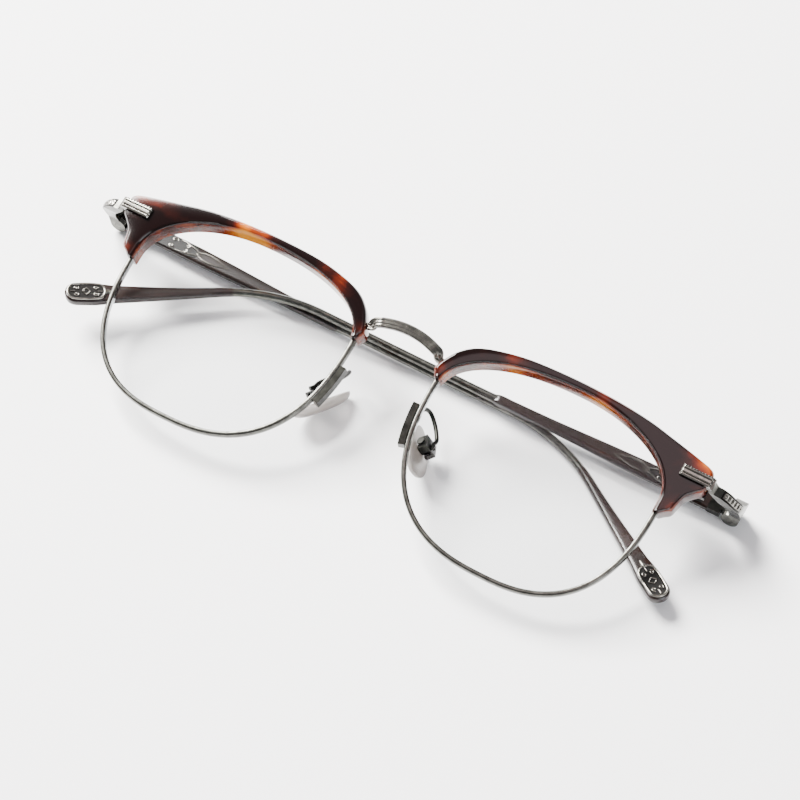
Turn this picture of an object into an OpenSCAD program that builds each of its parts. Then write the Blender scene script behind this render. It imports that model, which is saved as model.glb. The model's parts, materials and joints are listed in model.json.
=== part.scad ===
// Half rim (browline) eyeglasses, folded and lying face up on their temples.
// Units are millimetres. The origin is on the table below the middle of the frame.
// +X runs along the brow to the wearer's left, +Y towards the brow and +Z up.
// Left and right are the wearer's.

/* [Lenses] */
// Lens width at its widest, edge to edge
lens_w = 50; // [44:0.5:62]
// Lens height
lens_h = 41.9; // [34:0.1:52]
// Distance between the two lenses
bridge_w = 19; // [16:0.5:24]
// Lens thickness
lens_t = 1.6; // [1.2:0.1:1.6]
// Widest point on the temple side, below the lens top
outer_widest = 13.4; // [10:0.1:15]
// Widest point on the nose side, below the lens top
inner_widest = 12.3; // [10:0.1:15]
// Corner fullness: upper temple side (2 is an ellipse)
full_upper_outer = 2.07; // [2:0.01:3]
// Corner fullness: upper nose side
full_upper_inner = 2.2; // [2:0.01:3]
// Corner fullness: lower nose side
full_lower_inner = 2.48; // [2:0.01:3]
// Corner fullness: lower temple side
full_lower_outer = 2.62; // [2:0.01:3]
// Turn of each half back from the bridge, in degrees
face_form = 1.8; // [0:0.1:6]

/* [Eyewires] */
// Depth of the eyewire, front to back
rim_d = 1.7; // [1.4:0.1:2.4]
// Wall outside the lens edge line
rim_out = 0.6; // [0.5:0.05:0.9]
// Wall inside the lens edge line
rim_in = 0.5; // [0.4:0.05:0.8]
// Depth of the lens groove
groove_d = 0.4; // [0.2:0.05:0.5]
// Width of the lens groove
groove_w = 0.7; // [0.5:0.05:1]

/* [Brows] */
// Brow thickness in front of the eyewire centre
brow_front = 2.1; // [1.6:0.1:3]
// Brow thickness behind the eyewire centre
brow_back = 2.4; // [1.6:0.1:3]
// Cover of the brow over the eyewire, inside the lens edge line
brow_in = 0.4; // [0.1:0.05:0.4]
// Edge chamfer round the front of the brow
brow_chamfer = 0.4; // [0.1:0.05:0.8]

/* [Bridge] */
// Width of the bridge band
band_w = 2.1; // [1.5:0.1:3]
// Thickness of the bridge band
band_t = 1.1; // [0.8:0.1:1.6]
// Radius of the bridge arch
arch_r = 17; // [12:0.5:30]
// Arch centre line at the middle, below the lens top
arch_drop = 4.8; // [3:0.1:8]

/* [Endpieces and hinges] */
// Length of the decorative plate on the brow
plate_l = 6.6; // [4:0.1:9]
// Height of the decorative plate
plate_h = 2.3; // [1.6:0.1:3]
// Plate centre, below the lens top
plate_drop = 5.9; // [4:0.1:8]
// Distance of the hinge axis outside the lens edge
hinge_out = 11.4; // [11:0.1:15]
// Distance of the hinge axis behind the plate, square to the table
hinge_back = 12.4; // [9:0.1:16]
// Radius of the hinge knuckles
knuckle_r = 1.8; // [1.6:0.1:2.4]
// Height of the hinge
hinge_h = 3.8; // [3.5:0.1:6]
// Thickness of the hinge tongue on the temple
tongue_t = 1.5; // [1:0.1:1.8]
// Thickness of a hinge washer
washer_t = 0.16; // [0.1:0.02:0.2]
// Radius of the hinge screw
hinge_screw_r = 0.6; // [0.5:0.05:0.9]
// Tilt of the front over the hinges, in degrees
tilt = 13.3; // [0:0.1:18]

/* [Temples] */
// Temple length along its line, from hinge axis to tip
temple_l = 146; // [125:1:155]
// Length of the tip sleeve
tip_l = 34; // [28:1:40]
// Length behind the bend
drop_l = 53; // [48:1:60]
// Bend radius
bend_r = 37; // [25:1:60]
// Bend angle, in degrees
bend_angle = 35; // [15:1:45]
// Height of the broad part
temple_h = 3.8; // [3:0.1:5]
// Thickness of the broad part
temple_t = 1.3; // [1:0.1:1.6]
// Thickness of the round middle
rod_d = 1.7; // [1.4:0.1:2.2]
// Inward sweep of the tip
tip_sweep = 2.8; // [0:0.1:5]
// Width of the paddle at the tip
paddle_w = 4.7; // [3.5:0.1:6]
// Thickness of the paddle
paddle_t = 2; // [1.6:0.1:2.6]

/* [Nose pads] */
// Pad length
pad_l = 14; // [11:0.5:16]
// Pad width
pad_w = 6.6; // [5.5:0.1:8]
// Pad thickness
pad_t = 2.2; // [1.5:0.1:3]
// Radius of the pad arm wire
arm_r = 0.45; // [0.3:0.05:0.6]
// Pad centre outside the nose-side lens edge
pad_out = 2; // [0:0.1:5]
// Pad centre, below the lens top
pad_drop = 21.3; // [16:0.1:28]
// Pad centre behind the lens
pad_back = 8; // [6:0.1:12]

/* [Fits] */
// Clearance between fixed pieces
seat_gap = 0.03; // [0.02:0.01:0.06]
// Radial clearance of moving pins
pin_gap = 0.05; // [0.02:0.01:0.09]
// Rise of the folded left temple towards its tip, in degrees
left_lift = 0.96; // [0.9:0.02:2]
// Fall of the folded right temple towards its tip, in degrees
right_fall = 0.64; // [0.5:0.02:2]

/* [Hidden] */
$fn = 48;
OUTLINE_STEP = 5;
SPLINE_STEP = 0.25;
SIDES = 16;
EPS = 0.02;
// shift that centres the frame over the origin, front to back
centre_y = -0.6;
// the hinge axis above the table
hinge_rest = 2.3;

lens_x = (lens_w + bridge_w) / 2;
lens_top = lens_h / 2;
outer_x = lens_x + lens_w / 2;
inner_x = lens_x - lens_w / 2;
top_shift = 0.024 * lens_w;
bottom_shift = 0.016 * lens_w;

plate_y = lens_top - plate_drop;
plate_x0 = outer_x + 0.8;
plate_x1 = plate_x0 + plate_l;
plate_t = 0.5;
bar_t = 1.1;
bar_top = brow_front + 0.2;
rivet_r = 0.5;
rivet_x = [plate_x0 + 1.7, plate_x0 + 4.7];
back_plate_t = 1.4;

hinge_x = outer_x + hinge_out;
hinge_z = hinge_rest;
bar_z = bar_top - bar_t / 2 - plate_x1 * sin(face_form);
bar_row_z = plate_y * sin(tilt) + bar_z * cos(tilt);
bar_row_y = plate_y * cos(tilt) - bar_z * sin(tilt) + centre_y;
front_rise = hinge_rest + hinge_back - bar_row_z;
hinge_y = bar_row_y + 3.65;
slot_t = tongue_t + 2 * washer_t + 4 * EPS;
head_t = 0.5;
leaf_start = knuckle_r + 0.5;
leaf_end = 5;
leaf_h = hinge_h - 0.2;
leaf_t = 1.5;

rod_start = 54;
tip_start = temple_l - tip_l;
bend_start = temple_l - drop_l;
bend_length = bend_r * bend_angle * PI / 180;
core_d = 1.0;
core_l = 12;
emblem_l = 7.2;
emblem_w = 3.7;
emblem_t = 0.3;
emblem_s = temple_l - 4.9;

// The pad's turns, which point its long axis up and in to the bridge and its face to the nose.
pad_turn = [-18.3, -30.7, 34.8];
pad_place = [inner_x + pad_out, lens_top - pad_drop, -pad_back];
screw_x = 1.25;
stud_l = 1.9;
stud_w = 1.5;
stud_h = 1.8;
box_x0 = 0.45;
box_x1 = 2.55;
box_h = 3.2;
box_slot = stud_w + 0.2;
box_wall = 0.9;
box_floor = 0.35;
pad_screw_r = 0.45;

lock_t = 30;
lock_back = 3.6;
lock_out = 3.4;
lock_screw_r = 0.45;
lock_screw_x = 2.3;
lock_screw_z = -2.5;
clip_t = 146;
clip_half = 1.3;
clip_l = 2.1;
clip_z = 0.6;
clip_screw_x = 1.35;
clip_screw_r = 0.35;

TITANIUM = "#8d8d88";
DARK_TITANIUM = "#5c5c58";
TORTOISE = "#3c1a14";
COATING = "#3a2b28";
CLEAR = [0.9, 0.94, 0.95, 0.3];
PAD = [0.85, 0.82, 0.78, 0.8];

// ---- curves ----

// Lens edge line at angle t, moved outwards by grow: four quarter superellipses.
function rim_point(t, grow = 0) =
    let (
        c = cos(t), s = sin(t),
        cx = s > 0 ? top_shift : bottom_shift,
        cy = lens_top - (c > 0 ? outer_widest : inner_widest),
        a = c > 0 ? lens_w / 2 - cx : lens_w / 2 + cx,
        b = s > 0 ? lens_top - cy : lens_top + cy,
        n = s > 0 ? (c > 0 ? full_upper_outer : full_upper_inner)
                  : (c > 0 ? full_lower_outer : full_lower_inner),
        u = pow(abs(c), 2 / n), v = pow(abs(s), 2 / n),
        nx = sign(c) * pow(u, n - 1) / a, ny = sign(s) * pow(v, n - 1) / b,
        l = norm([nx, ny])
    )
    [lens_x + cx + sign(c) * a * u + grow * nx / l, cy + sign(s) * b * v + grow * ny / l];

function rim_outline(grow) = [for (t = [0:OUTLINE_STEP:359]) rim_point(t, grow)];

function rim_normal(t) = let (d = rim_point(t, 1) - rim_point(t, 0)) atan2(d[1], d[0]);

// Point on a Catmull-Rom curve through p at parameter u, ends held.
function spline_point(p, u) =
    let (
        n = len(p) - 1, i = min(floor(u), n - 1), f = u - i,
        a = p[max(i - 1, 0)], b = p[i], c = p[i + 1], d = p[min(i + 2, n)]
    )
    (2 * b + f * (c - a) + f * f * (2 * a - 5 * b + 4 * c - d)
     + f * f * f * (3 * b - a - 3 * c + d)) / 2;

function spline(p) = [for (u = [0:SPLINE_STEP:len(p) - 1]) spline_point(p, u)];

// Angles at which the brow's inner edge leaves the lens edge line.
BROW_OUTER_END = -2;
BROW_INNER_END = 176;

// Brow edge round the temple-side lobe, over the top and down to the nose.
brow_edge = [
    rim_point(BROW_OUTER_END, -brow_in),
    [outer_x + 1.7, lens_top - 14.8],
    [outer_x + 2.8, lens_top - 13.9],
    [outer_x + 3.2, lens_top - 12.4],
    [outer_x + 3.8, lens_top - 10.4],
    [outer_x + 5.1, lens_top - 8.9],
    [outer_x + 6.4, lens_top - 7.6],
    [outer_x + 6.9, lens_top - 6.0],
    [outer_x + 6.9, lens_top - 4.5],
    [outer_x + 6.0, lens_top - 3.2],
    [outer_x + 3.0, lens_top - 2.3],
    [lens_x + 0.43 * lens_w, lens_top - 0.85],
    [lens_x + 0.31 * lens_w, lens_top + 0.35],
    [lens_x + 0.15 * lens_w, lens_top + 1.15],
    [lens_x - 0.03 * lens_w, lens_top + 1.3],
    [lens_x - 0.21 * lens_w, lens_top + 0.8],
    [lens_x - 0.34 * lens_w, lens_top - 0.45],
    [inner_x + 3.8, lens_top - 1.95],
    [inner_x + 1.1, lens_top - 4.1],
    [inner_x - 0.6, lens_top - 6.7],
    [inner_x - 1.5, lens_top - 9.0],
    [inner_x - 1.1, lens_top - 10.2],
    rim_point(BROW_INNER_END, -brow_in)
];

function brow_outline(shrink) =
    let (outer = spline(brow_edge), n = len(outer))
    concat(
        [for (i = [0:n - 1])
            let (d = outer[min(i + 1, n - 1)] - outer[max(i - 1, 0)], l = norm(d))
            outer[i] + shrink * [-d[1], d[0]] / l],
        [for (t = [BROW_INNER_END - OUTLINE_STEP:-OUTLINE_STEP:BROW_OUTER_END + 1])
            rim_point(t, shrink - brow_in)]
    );

// ---- helpers ----

// Closed solid through a list of rings, each with the same number of points.
module skin(rings) {
    n = len(rings[0]);
    last = len(rings) - 1;
    polyhedron(
        points = [for (r = rings) for (p = r) p],
        faces = concat(
            [[for (i = [0:n - 1]) n - 1 - i]],
            [[for (i = [0:n - 1]) last * n + i]],
            [for (k = [0:last - 1]) for (i = [0:n - 1])
                [k * n + i, k * n + (i + 1) % n, (k + 1) * n + (i + 1) % n]],
            [for (k = [0:last - 1]) for (i = [0:n - 1])
                [k * n + i, (k + 1) * n + (i + 1) % n, (k + 1) * n + i]]
        )
    );
}

function power(v, e) = sign(v) * pow(abs(v), 2 / e);

// Rounded section w by h, with squareness e, as pairs across and up.
function section(w, h, e) =
    [for (i = [0:SIDES - 1])
        let (a = 360 * (i + 0.5) / SIDES)
        [w / 2 * power(cos(a), e), h / 2 * power(sin(a), e)]];

module side(name) {
    if (name == "left") children();
    else mirror([1, 0, 0]) children();
}

// Moves a piece drawn in the frame of one half, where Z is the lens normal, to its place.
module on_front(name) {
    translate([0, centre_y, front_rise])
        rotate([tilt, 0, 0])
            side(name) rotate([0, face_form, 0]) children();
}

// Local frame on the eyewire: X outwards, Y along it.
module on_rim(t) {
    p = rim_point(t);
    translate([p[0], p[1], 0]) rotate([0, 0, rim_normal(t)]) children();
}

module block(x0, x1, y0, y1, z0, z1) {
    translate([x0, y0, z0]) cube([x1 - x0, y1 - y0, z1 - z0]);
}

module slab(points, z0, z1) {
    translate([0, 0, z0]) linear_extrude(z1 - z0) polygon(points);
}

module rod_y(r, y0, y1) {
    translate([0, y1, 0]) rotate([90, 0, 0]) cylinder(r = r, h = y1 - y0);
}

module on_hinge(name) {
    side(name) translate([hinge_x, hinge_y, hinge_z]) children();
}

// The temple runs along -X from the hinge axis.
module on_temple(name) {
    on_hinge(name)
        rotate([0, name == "left" ? left_lift : -right_fall, 0]) children();
}

module on_pad(name) {
    translate([0, centre_y, front_rise])
        side(name) translate(pad_place) rotate(pad_turn) children();
}

// ---- eyewires, lenses and brows ----

module eyewire(name) {
    color(TITANIUM) on_front(name) difference() {
        slab(rim_outline(rim_out), -rim_d / 2, rim_d / 2);
        slab(rim_outline(-rim_in), -rim_d, rim_d);
        slab(rim_outline(groove_d - rim_in), -groove_w / 2, groove_w / 2);
        // saw cut between the two closing barrels
        on_rim(lock_t) block(-1, 1, -0.15, 0.15, -rim_d, rim_d);
    }
}

module lens(name) {
    color(CLEAR) on_front(name) union() {
        slab(rim_outline(-rim_in - seat_gap), -lens_t / 2, lens_t / 2);
        slab(rim_outline(groove_d - rim_in - seat_gap), seat_gap - groove_w / 2, groove_w / 2 - seat_gap);
    }
}

module brow(name) {
    gap = seat_gap;
    color(TORTOISE) on_front(name) difference() {
        union() {
            slab(brow_outline(0), -brow_back, brow_front - brow_chamfer);
            slab(brow_outline(brow_chamfer), brow_front - brow_chamfer - EPS, brow_front);
        }
        // channel for the eyewire
        slab(rim_outline(rim_out + gap), -rim_d / 2 - gap, rim_d / 2 + gap);
        // slot in the nose end for the bridge foot
        block(0, inner_x + 2, lens_top - 8.9, lens_top - 5.5, -rim_d / 2 - gap, rim_d / 2 + 0.15);
        block(0, inner_x + 0.3, lens_top - 8.9, lens_top - 5.2, 0, 1.45);
        // recess for the endpiece bar, open at the temple side
        block(plate_x0 - gap, plate_x1 + 5, plate_y - plate_h / 2 - gap, plate_y + plate_h / 2 + gap,
              bar_top - bar_t - gap, bar_top + 1);
        for (x = rivet_x)
            translate([x, plate_y, -brow_back - 1]) cylinder(r = rivet_r + gap, h = 6);
        // pocket for the closing barrels, behind a lip that hides them
        on_rim(lock_t) {
            block(0, lock_out + gap, -2.1, 2.6, -rim_d / 2 - gap, rim_d / 2 + gap);
            block(1.1, lock_out + gap, -2.1, 2.6, -brow_back - 1, 0);
        }
        // pocket of the clip, and its screw hole from behind
        on_rim(clip_t) {
            block(0, clip_l + gap, -clip_half - gap, clip_half + gap, -clip_z - gap, clip_z + gap);
            translate([clip_screw_x, 0, -brow_back - 1])
                cylinder(r = clip_screw_r + gap, h = brow_back + 1);
        }
    }
}

// ---- bridge ----

// Right half of the bridge's centre line: the arch, then a foot that turns back to the eyewire.
arch_top = lens_top - arch_drop;
arch_end = 21;
arch_z = brow_front - 0.5;
bridge_foot = [
    [inner_x - 2.3, arch_top - 1.5, arch_z - 0.5],
    [inner_x - 1.9, arch_top - 2.2, arch_z - 1.2],
    [inner_x - 1.0, arch_top - 2.5, 0.1],
    [inner_x + 0.2, arch_top - 2.7, 0],
    [inner_x + 1.6, arch_top - 2.8, 0]
];

function arch_point(a) = [arch_r * sin(a), arch_top - arch_r * (1 - cos(a)), arch_z];

half_path = concat([for (a = [0:3.5:arch_end]) arch_point(a)], bridge_foot);
bridge_path = concat(
    [for (i = [len(half_path) - 1:-1:1]) [-half_path[i][0], half_path[i][1], half_path[i][2]]],
    half_path
);

// Band section with three ribs on its front face, as pairs along the width and out of the front.
RIB = 0.16;
function band_section(w, t) = concat(
    [[-w / 2, -t / 2], [w / 2, -t / 2], [w / 2, t / 2 - RIB]],
    [for (k = [2:-1:-2]) [w / 2 * (k * 2 - 0.5) / 5 + w / 10, t / 2 - (k % 2 == 0 ? 0 : RIB)]],
    [[-w / 2, t / 2 - RIB]]
);

function unit(v) = v / norm(v);

function bridge_ring(i) =
    let (
        n = len(bridge_path) - 1,
        d = unit(bridge_path[min(i + 1, n)] - bridge_path[max(i - 1, 0)]),
        // across the band, kept in the plane of the front
        w = unit(cross([0, 0, 1], [d[0], d[1], 0])),
        f = unit(cross(d, w)),
        squeeze = abs(bridge_path[i][0]) > inner_x - 1.5 ? 0.62 : 1
    )
    [for (q = band_section(band_w * squeeze, band_t)) bridge_path[i] + q[0] * w + q[1] * f];

module bridge() {
    color(TITANIUM) difference() {
        translate([0, centre_y, front_rise]) rotate([tilt, 0, 0])
            skin([for (i = [0:len(bridge_path) - 1]) bridge_ring(i)]);
        for (name = ["left", "right"])
            on_front(name) slab(rim_outline(rim_out + seat_gap), -5, 5);
    }
}

// ---- endpieces ----

// Outline of the arm from the side of the hinge, as steps from the hinge axis in X
// and shares of hinge_back in Z: the outer line down to the knuckle, then the inner line up.
arm_outer = [
    [-4.3, 1.03], [-3.9, 1], [-3.5, 0.94], [-2.9, 0.88], [-1.8, 0.865], [-0.4, 0.8], [0.8, 0.7],
    [knuckle_r - 0.05, 0.585], [knuckle_r + 0.3, 0.5], [knuckle_r + 0.45, 0.385],
    [knuckle_r + 0.4, 0.2], [knuckle_r, 0]
];
arm_inner = [
    [-0.6, 0], [-0.3, 0.16], [-0.3, 0.32], [-0.7, 0.44], [-1.4, 0.57], [-2.2, 0.67],
    [-3.0, 0.75], [-3.8, 0.84], [-4.25, 0.91], [-4.3, 0.97]
];

function arm_curve(points) =
    spline([for (p = points) [p[0], p[1] * hinge_back]]);

// Outline of the arm from the temple side: narrow at the plate, as high as the hinge below.
arm_side = [
    [-hinge_h / 2, -1], [-hinge_h / 2, 0.16 * hinge_back], [-3.0, 0.42 * hinge_back],
    [-4.2, 0.66 * hinge_back], [-4.7, 0.88 * hinge_back], [-4.8, 1.1 * hinge_back],
    [-2.5, 1.1 * hinge_back], [-2.45, 0.88 * hinge_back], [-2.1, 0.7 * hinge_back],
    [-1.2, 0.5 * hinge_back], [0, 0.36 * hinge_back], [hinge_h / 2 - 0.5, 0.28 * hinge_back],
    [hinge_h / 2, 0.22 * hinge_back], [hinge_h / 2, -1]
];

module arm() {
    on_hinge("left") intersection() {
        translate([0, hinge_h, 0]) rotate([90, 0, 0])
            linear_extrude(3 * hinge_h) polygon(concat(arm_curve(arm_outer), arm_curve(arm_inner)));
        rotate([90, 0, 90]) translate([0, 0, -10]) linear_extrude(20) polygon(arm_side);
    }
}

module endpiece(name) {
    color(TITANIUM) side(name) difference() {
        union() {
            arm();
            on_front("left") {
                block(plate_x0, plate_x1 + 0.35, plate_y - plate_h / 2, plate_y + plate_h / 2,
                      bar_top - bar_t, bar_top);
                for (x = rivet_x)
                    translate([x, plate_y, -brow_back - back_plate_t])
                        cylinder(r = rivet_r, h = brow_back + back_plate_t + bar_top - EPS);
            }
            on_hinge("left") rod_y(knuckle_r, -hinge_h / 2, hinge_h / 2);
        }
        // seat of the decorative plate
        on_front("left") block(plate_x0 - 1, plate_x1 + seat_gap, plate_y - 2, plate_y + 2, bar_top, bar_top + 3);
        on_hinge("left") {
            // slot for the tongue, and the screw hole
            block(-knuckle_r - 1, knuckle_r + 1, -slot_t / 2, slot_t / 2, -knuckle_r - 1, knuckle_r + 0.35);
            rod_y(hinge_screw_r + pin_gap, -hinge_h, hinge_h);
        }
    }
}

module front_plate(name) {
    edge_y = plate_y + plate_h / 2;
    pitch = 0.45;
    z0 = bar_top + EPS;
    color(TITANIUM) on_front(name) difference() {
        block(plate_x0, plate_x1, plate_y - plate_h / 2, edge_y, z0, z0 + plate_t);
        // two grooves along the face
        for (y = [-0.3, 0.3])
            block(plate_x0 - 1, plate_x1 + 1, plate_y + y * plate_h - 0.1, plate_y + y * plate_h + 0.1,
                  z0 + plate_t - 0.15, z0 + plate_t + 1);
        // milled edge
        for (x = [plate_x0 + pitch:pitch:plate_x1 - pitch / 2])
            translate([x, edge_y, z0 - 1]) cylinder(r = 0.12, h = plate_t + 2, $fn = 16);
    }
}

// Plate behind the brow that takes the rivets and carries the upper closing barrel.
module back_plate(name) {
    z1 = -brow_back - seat_gap;
    color(DARK_TITANIUM) on_front(name) difference() {
        union() {
            block(outer_x - 1.4, plate_x1 - 0.8, plate_y - 1.9, plate_y + 1.9, z1 - back_plate_t, z1);
            on_rim(lock_t) barrel_half(-2, -0.2);
        }
        for (x = rivet_x)
            translate([x, plate_y, -brow_back - 3]) cylinder(r = rivet_r + seat_gap, h = 4);
        // tapped hole, and room for the other barrel
        on_rim(lock_t) {
            translate([lock_screw_x, 0, lock_screw_z]) rod_y(lock_screw_r + seat_gap, -2.2, 1);
            block(-1, lock_out + 1, -0.2 + EPS, 4, -lock_back - 1, 1);
        }
    }
}

module barrel_half(y0, y1) {
    block(rim_out + seat_gap, lock_out, y0, y1, -rim_d / 2 + 0.05, rim_d / 2 - 0.05);
    block(1.2, lock_out, y0, y1, -lock_back, 0);
}

module rim_barrel(name) {
    color(DARK_TITANIUM) on_front(name) on_rim(lock_t) difference() {
        barrel_half(0.2, 2);
        translate([lock_screw_x, 0, lock_screw_z]) rod_y(lock_screw_r + seat_gap, -1, 3);
    }
}

module rim_screw(name) {
    color(TITANIUM) on_front(name) on_rim(lock_t)
        translate([lock_screw_x, 0, lock_screw_z]) {
            rod_y(lock_screw_r, -2, 2.2);
            rod_y(lock_screw_r + 0.35, 2 + EPS, 2.5);
        }
}

// Clip on the nose end of each eyewire, and the screw that holds the brow to it.
module brow_clip(name) {
    color(DARK_TITANIUM) on_front(name) on_rim(clip_t) difference() {
        block(rim_out + seat_gap, clip_l, -clip_half, clip_half, -clip_z, clip_z);
        translate([clip_screw_x, 0, -2]) cylinder(r = clip_screw_r + seat_gap, h = 4);
    }
}

module brow_screw(name) {
    z0 = -brow_back - EPS;
    color(TITANIUM) on_front(name) on_rim(clip_t) translate([clip_screw_x, 0, z0]) {
        translate([0, 0, -0.1]) cylinder(r = clip_screw_r, h = clip_z - z0 + 0.1 - EPS);
        translate([0, 0, -0.35]) cylinder(r = 0.62, h = 0.35);
    }
}

// ---- nose pads ----

pad_base_t = [186, 202];
pad_base_w = 1.35;
wire_t = 188;
wire_grow = rim_out + seat_gap + pad_base_w / 2;

module pad_base(name) {
    outer = [for (t = [pad_base_t[0]:2:pad_base_t[1]]) rim_point(t, rim_out + seat_gap + pad_base_w)];
    inner = [for (t = [pad_base_t[1]:-2:pad_base_t[0]]) rim_point(t, rim_out + seat_gap)];
    color(DARK_TITANIUM) on_front(name) difference() {
        slab(concat(outer, inner), -rim_d / 2 - 0.4, rim_d / 2);
        // socket of the pad arm
        translate([rim_point(wire_t, wire_grow)[0], rim_point(wire_t, wire_grow)[1], -rim_d - 1])
            cylinder(r = arm_r + seat_gap, h = rim_d + 0.7);
    }
}

// Turns a place on one half of the front to the row's axes.
function front_place(p) =
    let (
        x = p[0] * cos(face_form) + p[2] * sin(face_form),
        z = p[2] * cos(face_form) - p[0] * sin(face_form)
    )
    [x, p[1] * cos(tilt) - z * sin(tilt), p[1] * sin(tilt) + z * cos(tilt)];

// Turns a place on the pad to the row's axes.
function pad_point(p) =
    let (
        a = pad_turn[0], b = pad_turn[1], c = pad_turn[2],
        y = p[1] * cos(a) - p[2] * sin(a), z = p[1] * sin(a) + p[2] * cos(a),
        x = p[0] * cos(b) + z * sin(b)
    )
    pad_place + [x * cos(c) - y * sin(c), x * sin(c) + y * cos(c), z * cos(b) - p[0] * sin(b)];

// Wire from the base's socket, back and up in a loop, then down to the pad box.
function wire_root(z) = front_place(concat(rim_point(wire_t, wire_grow), [z]));
wire_low = wire_root(-rim_d / 2 - 1.1);
wire_end = pad_point([box_x1 + arm_r + EPS, 0, 0]);
wire_points = [
    wire_root(-0.35 - EPS),
    wire_root(-rim_d / 2 - 0.45),
    wire_low,
    wire_low + [0.1, 2.0, -1.6],
    wire_low + [0.5, 3.7, -3.2],
    wire_low + [1.4, 4.1, -4.8],
    wire_low + 0.55 * (wire_end - wire_low) + [0.5, 3.2, -2.6],
    wire_end + [-0.2, 1.6, -0.5],
    wire_end,
    pad_point([box_x1 + arm_r + EPS, -1.2, 0])
];

function tube_ring(path, i, r, sides) =
    let (
        n = len(path) - 1,
        d = unit(path[min(i + 1, n)] - path[max(i - 1, 0)]),
        w = unit(cross(d, [1, 0.2, 0])),
        f = cross(d, w)
    )
    [for (k = [0:sides - 1]) path[i] + r * (cos(360 * k / sides) * w + sin(360 * k / sides) * f)];

module pad_arm(name) {
    path = spline(wire_points);
    color(DARK_TITANIUM) translate([0, centre_y, front_rise]) side(name)
        skin([for (i = [0:len(path) - 1]) tube_ring(path, i, arm_r, 10)]);
}

module pad_box(name) {
    half = box_slot / 2 + box_wall;
    color(DARK_TITANIUM) on_pad(name) difference() {
        block(box_x0, box_x1, -box_h / 2, box_h / 2, -half, half);
        block(box_x0 - 1, box_x1 - box_floor, -box_h, box_h, -box_slot / 2, box_slot / 2);
        translate([screw_x, 0, -5]) cylinder(r = pad_screw_r + pin_gap, h = 10);
    }
}

module pad_screw(name) {
    half = box_slot / 2 + box_wall;
    color(TITANIUM) on_pad(name) translate([screw_x, 0, 0]) {
        translate([0, 0, -half]) cylinder(r = pad_screw_r, h = 2 * half + EPS);
        translate([0, 0, half + EPS]) cylinder(r = 0.8, h = 0.5);
    }
}

module pad_stud(name) {
    color(DARK_TITANIUM) on_pad(name) difference() {
        block(EPS, stud_l, -stud_h / 2, stud_h / 2, -stud_w / 2, stud_w / 2);
        translate([screw_x, 0, -5]) cylinder(r = pad_screw_r + pin_gap, h = 10);
    }
}

// Almond pad: flat back, crowned face, fuller at its lower end.
function pad_ring(f, depth) =
    [for (i = [0:23])
        let (
            a = 15 * i,
            y = pad_l / 2 * sin(a) * f,
            z = pad_w / 2 * cos(a) * f * (1 - 0.16 * sin(a))
        )
        [-depth, y, z]];

module nose_pad(name) {
    color(PAD) on_pad(name)
        skin([pad_ring(0.94, 0), pad_ring(1, 0.3), pad_ring(0.98, 0.7), pad_ring(0.88, 0.62 * pad_t),
              pad_ring(0.68, 0.85 * pad_t), pad_ring(0.36, 0.97 * pad_t), pad_ring(0.08, pad_t)]);
}

// ---- hinges and temples ----

module hinge_screw(name) {
    color(TITANIUM) on_hinge(name) {
        rod_y(hinge_screw_r, -hinge_h / 2, hinge_h / 2 + EPS);
        difference() {
            rod_y(1.15, hinge_h / 2 + EPS, hinge_h / 2 + head_t);
            block(-2, 2, hinge_h / 2 + 0.25, hinge_h, -0.15, 0.15);
        }
    }
}

module hinge_washers(name) {
    color("silver") on_hinge(name) for (s = [-1, 1]) {
        y = s * (tongue_t / 2 + EPS + washer_t / 2);
        difference() {
            rod_y(knuckle_r - 0.2, y - washer_t / 2, y + washer_t / 2);
            rod_y(hinge_screw_r + pin_gap, y - 1, y + 1);
        }
    }
}

module hinge_leaf(name) {
    color(DARK_TITANIUM) on_temple(name) difference() {
        union() {
            rod_y(knuckle_r, -tongue_t / 2, tongue_t / 2);
            block(-leaf_start - 0.5, 0, -tongue_t / 2, tongue_t / 2, -leaf_t / 2, leaf_t / 2);
            block(-leaf_end, -leaf_start, -leaf_h / 2, leaf_h / 2, -leaf_t / 2, leaf_t / 2);
        }
        rod_y(hinge_screw_r + pin_gap, -hinge_h, hinge_h);
    }
}

// The temple's line at distance s from the hinge axis: straight, an arc down, then straight.
function temple_turn(s) = min(max((s - bend_start) / bend_length, 0), 1) * bend_angle;

function temple_centre(s) =
    let (
        a = temple_turn(s),
        after = max(s - bend_start - bend_length, 0),
        x = min(s, bend_start) + bend_r * sin(a) + after * cos(a),
        y = -bend_r * (1 - cos(a)) - after * sin(a),
        settle = lookup(s, [[18, 0], [34, -0.25], [rod_start, -0.6]]),
        sweep = tip_sweep * pow(max(s - tip_start + 4, 0) / (tip_l + 4), 2)
    )
    [-x, y + settle, sweep];

function temple_ring(s, h, t, e) =
    let (a = temple_turn(s), c = temple_centre(s))
    [for (q = section(t, h, e)) c + q[1] * [-sin(a), cos(a), 0] + [0, 0, q[0]]];

TEMPLE_HEIGHT = [
    [leaf_end, temple_h], [18, temple_h], [26, temple_h - 0.3], [34, temple_h - 0.85],
    [42, temple_h - 1.35], [50, 2.1], [rod_start, 1.85], [rod_start + 3, rod_d], [200, rod_d]
];
TEMPLE_THICKNESS = [[leaf_end, temple_t], [40, temple_t], [rod_start, rod_d], [200, rod_d]];
TEMPLE_SQUARE = [[leaf_end, 5], [40, 4], [rod_start, 2.2], [60, 2]];

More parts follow.
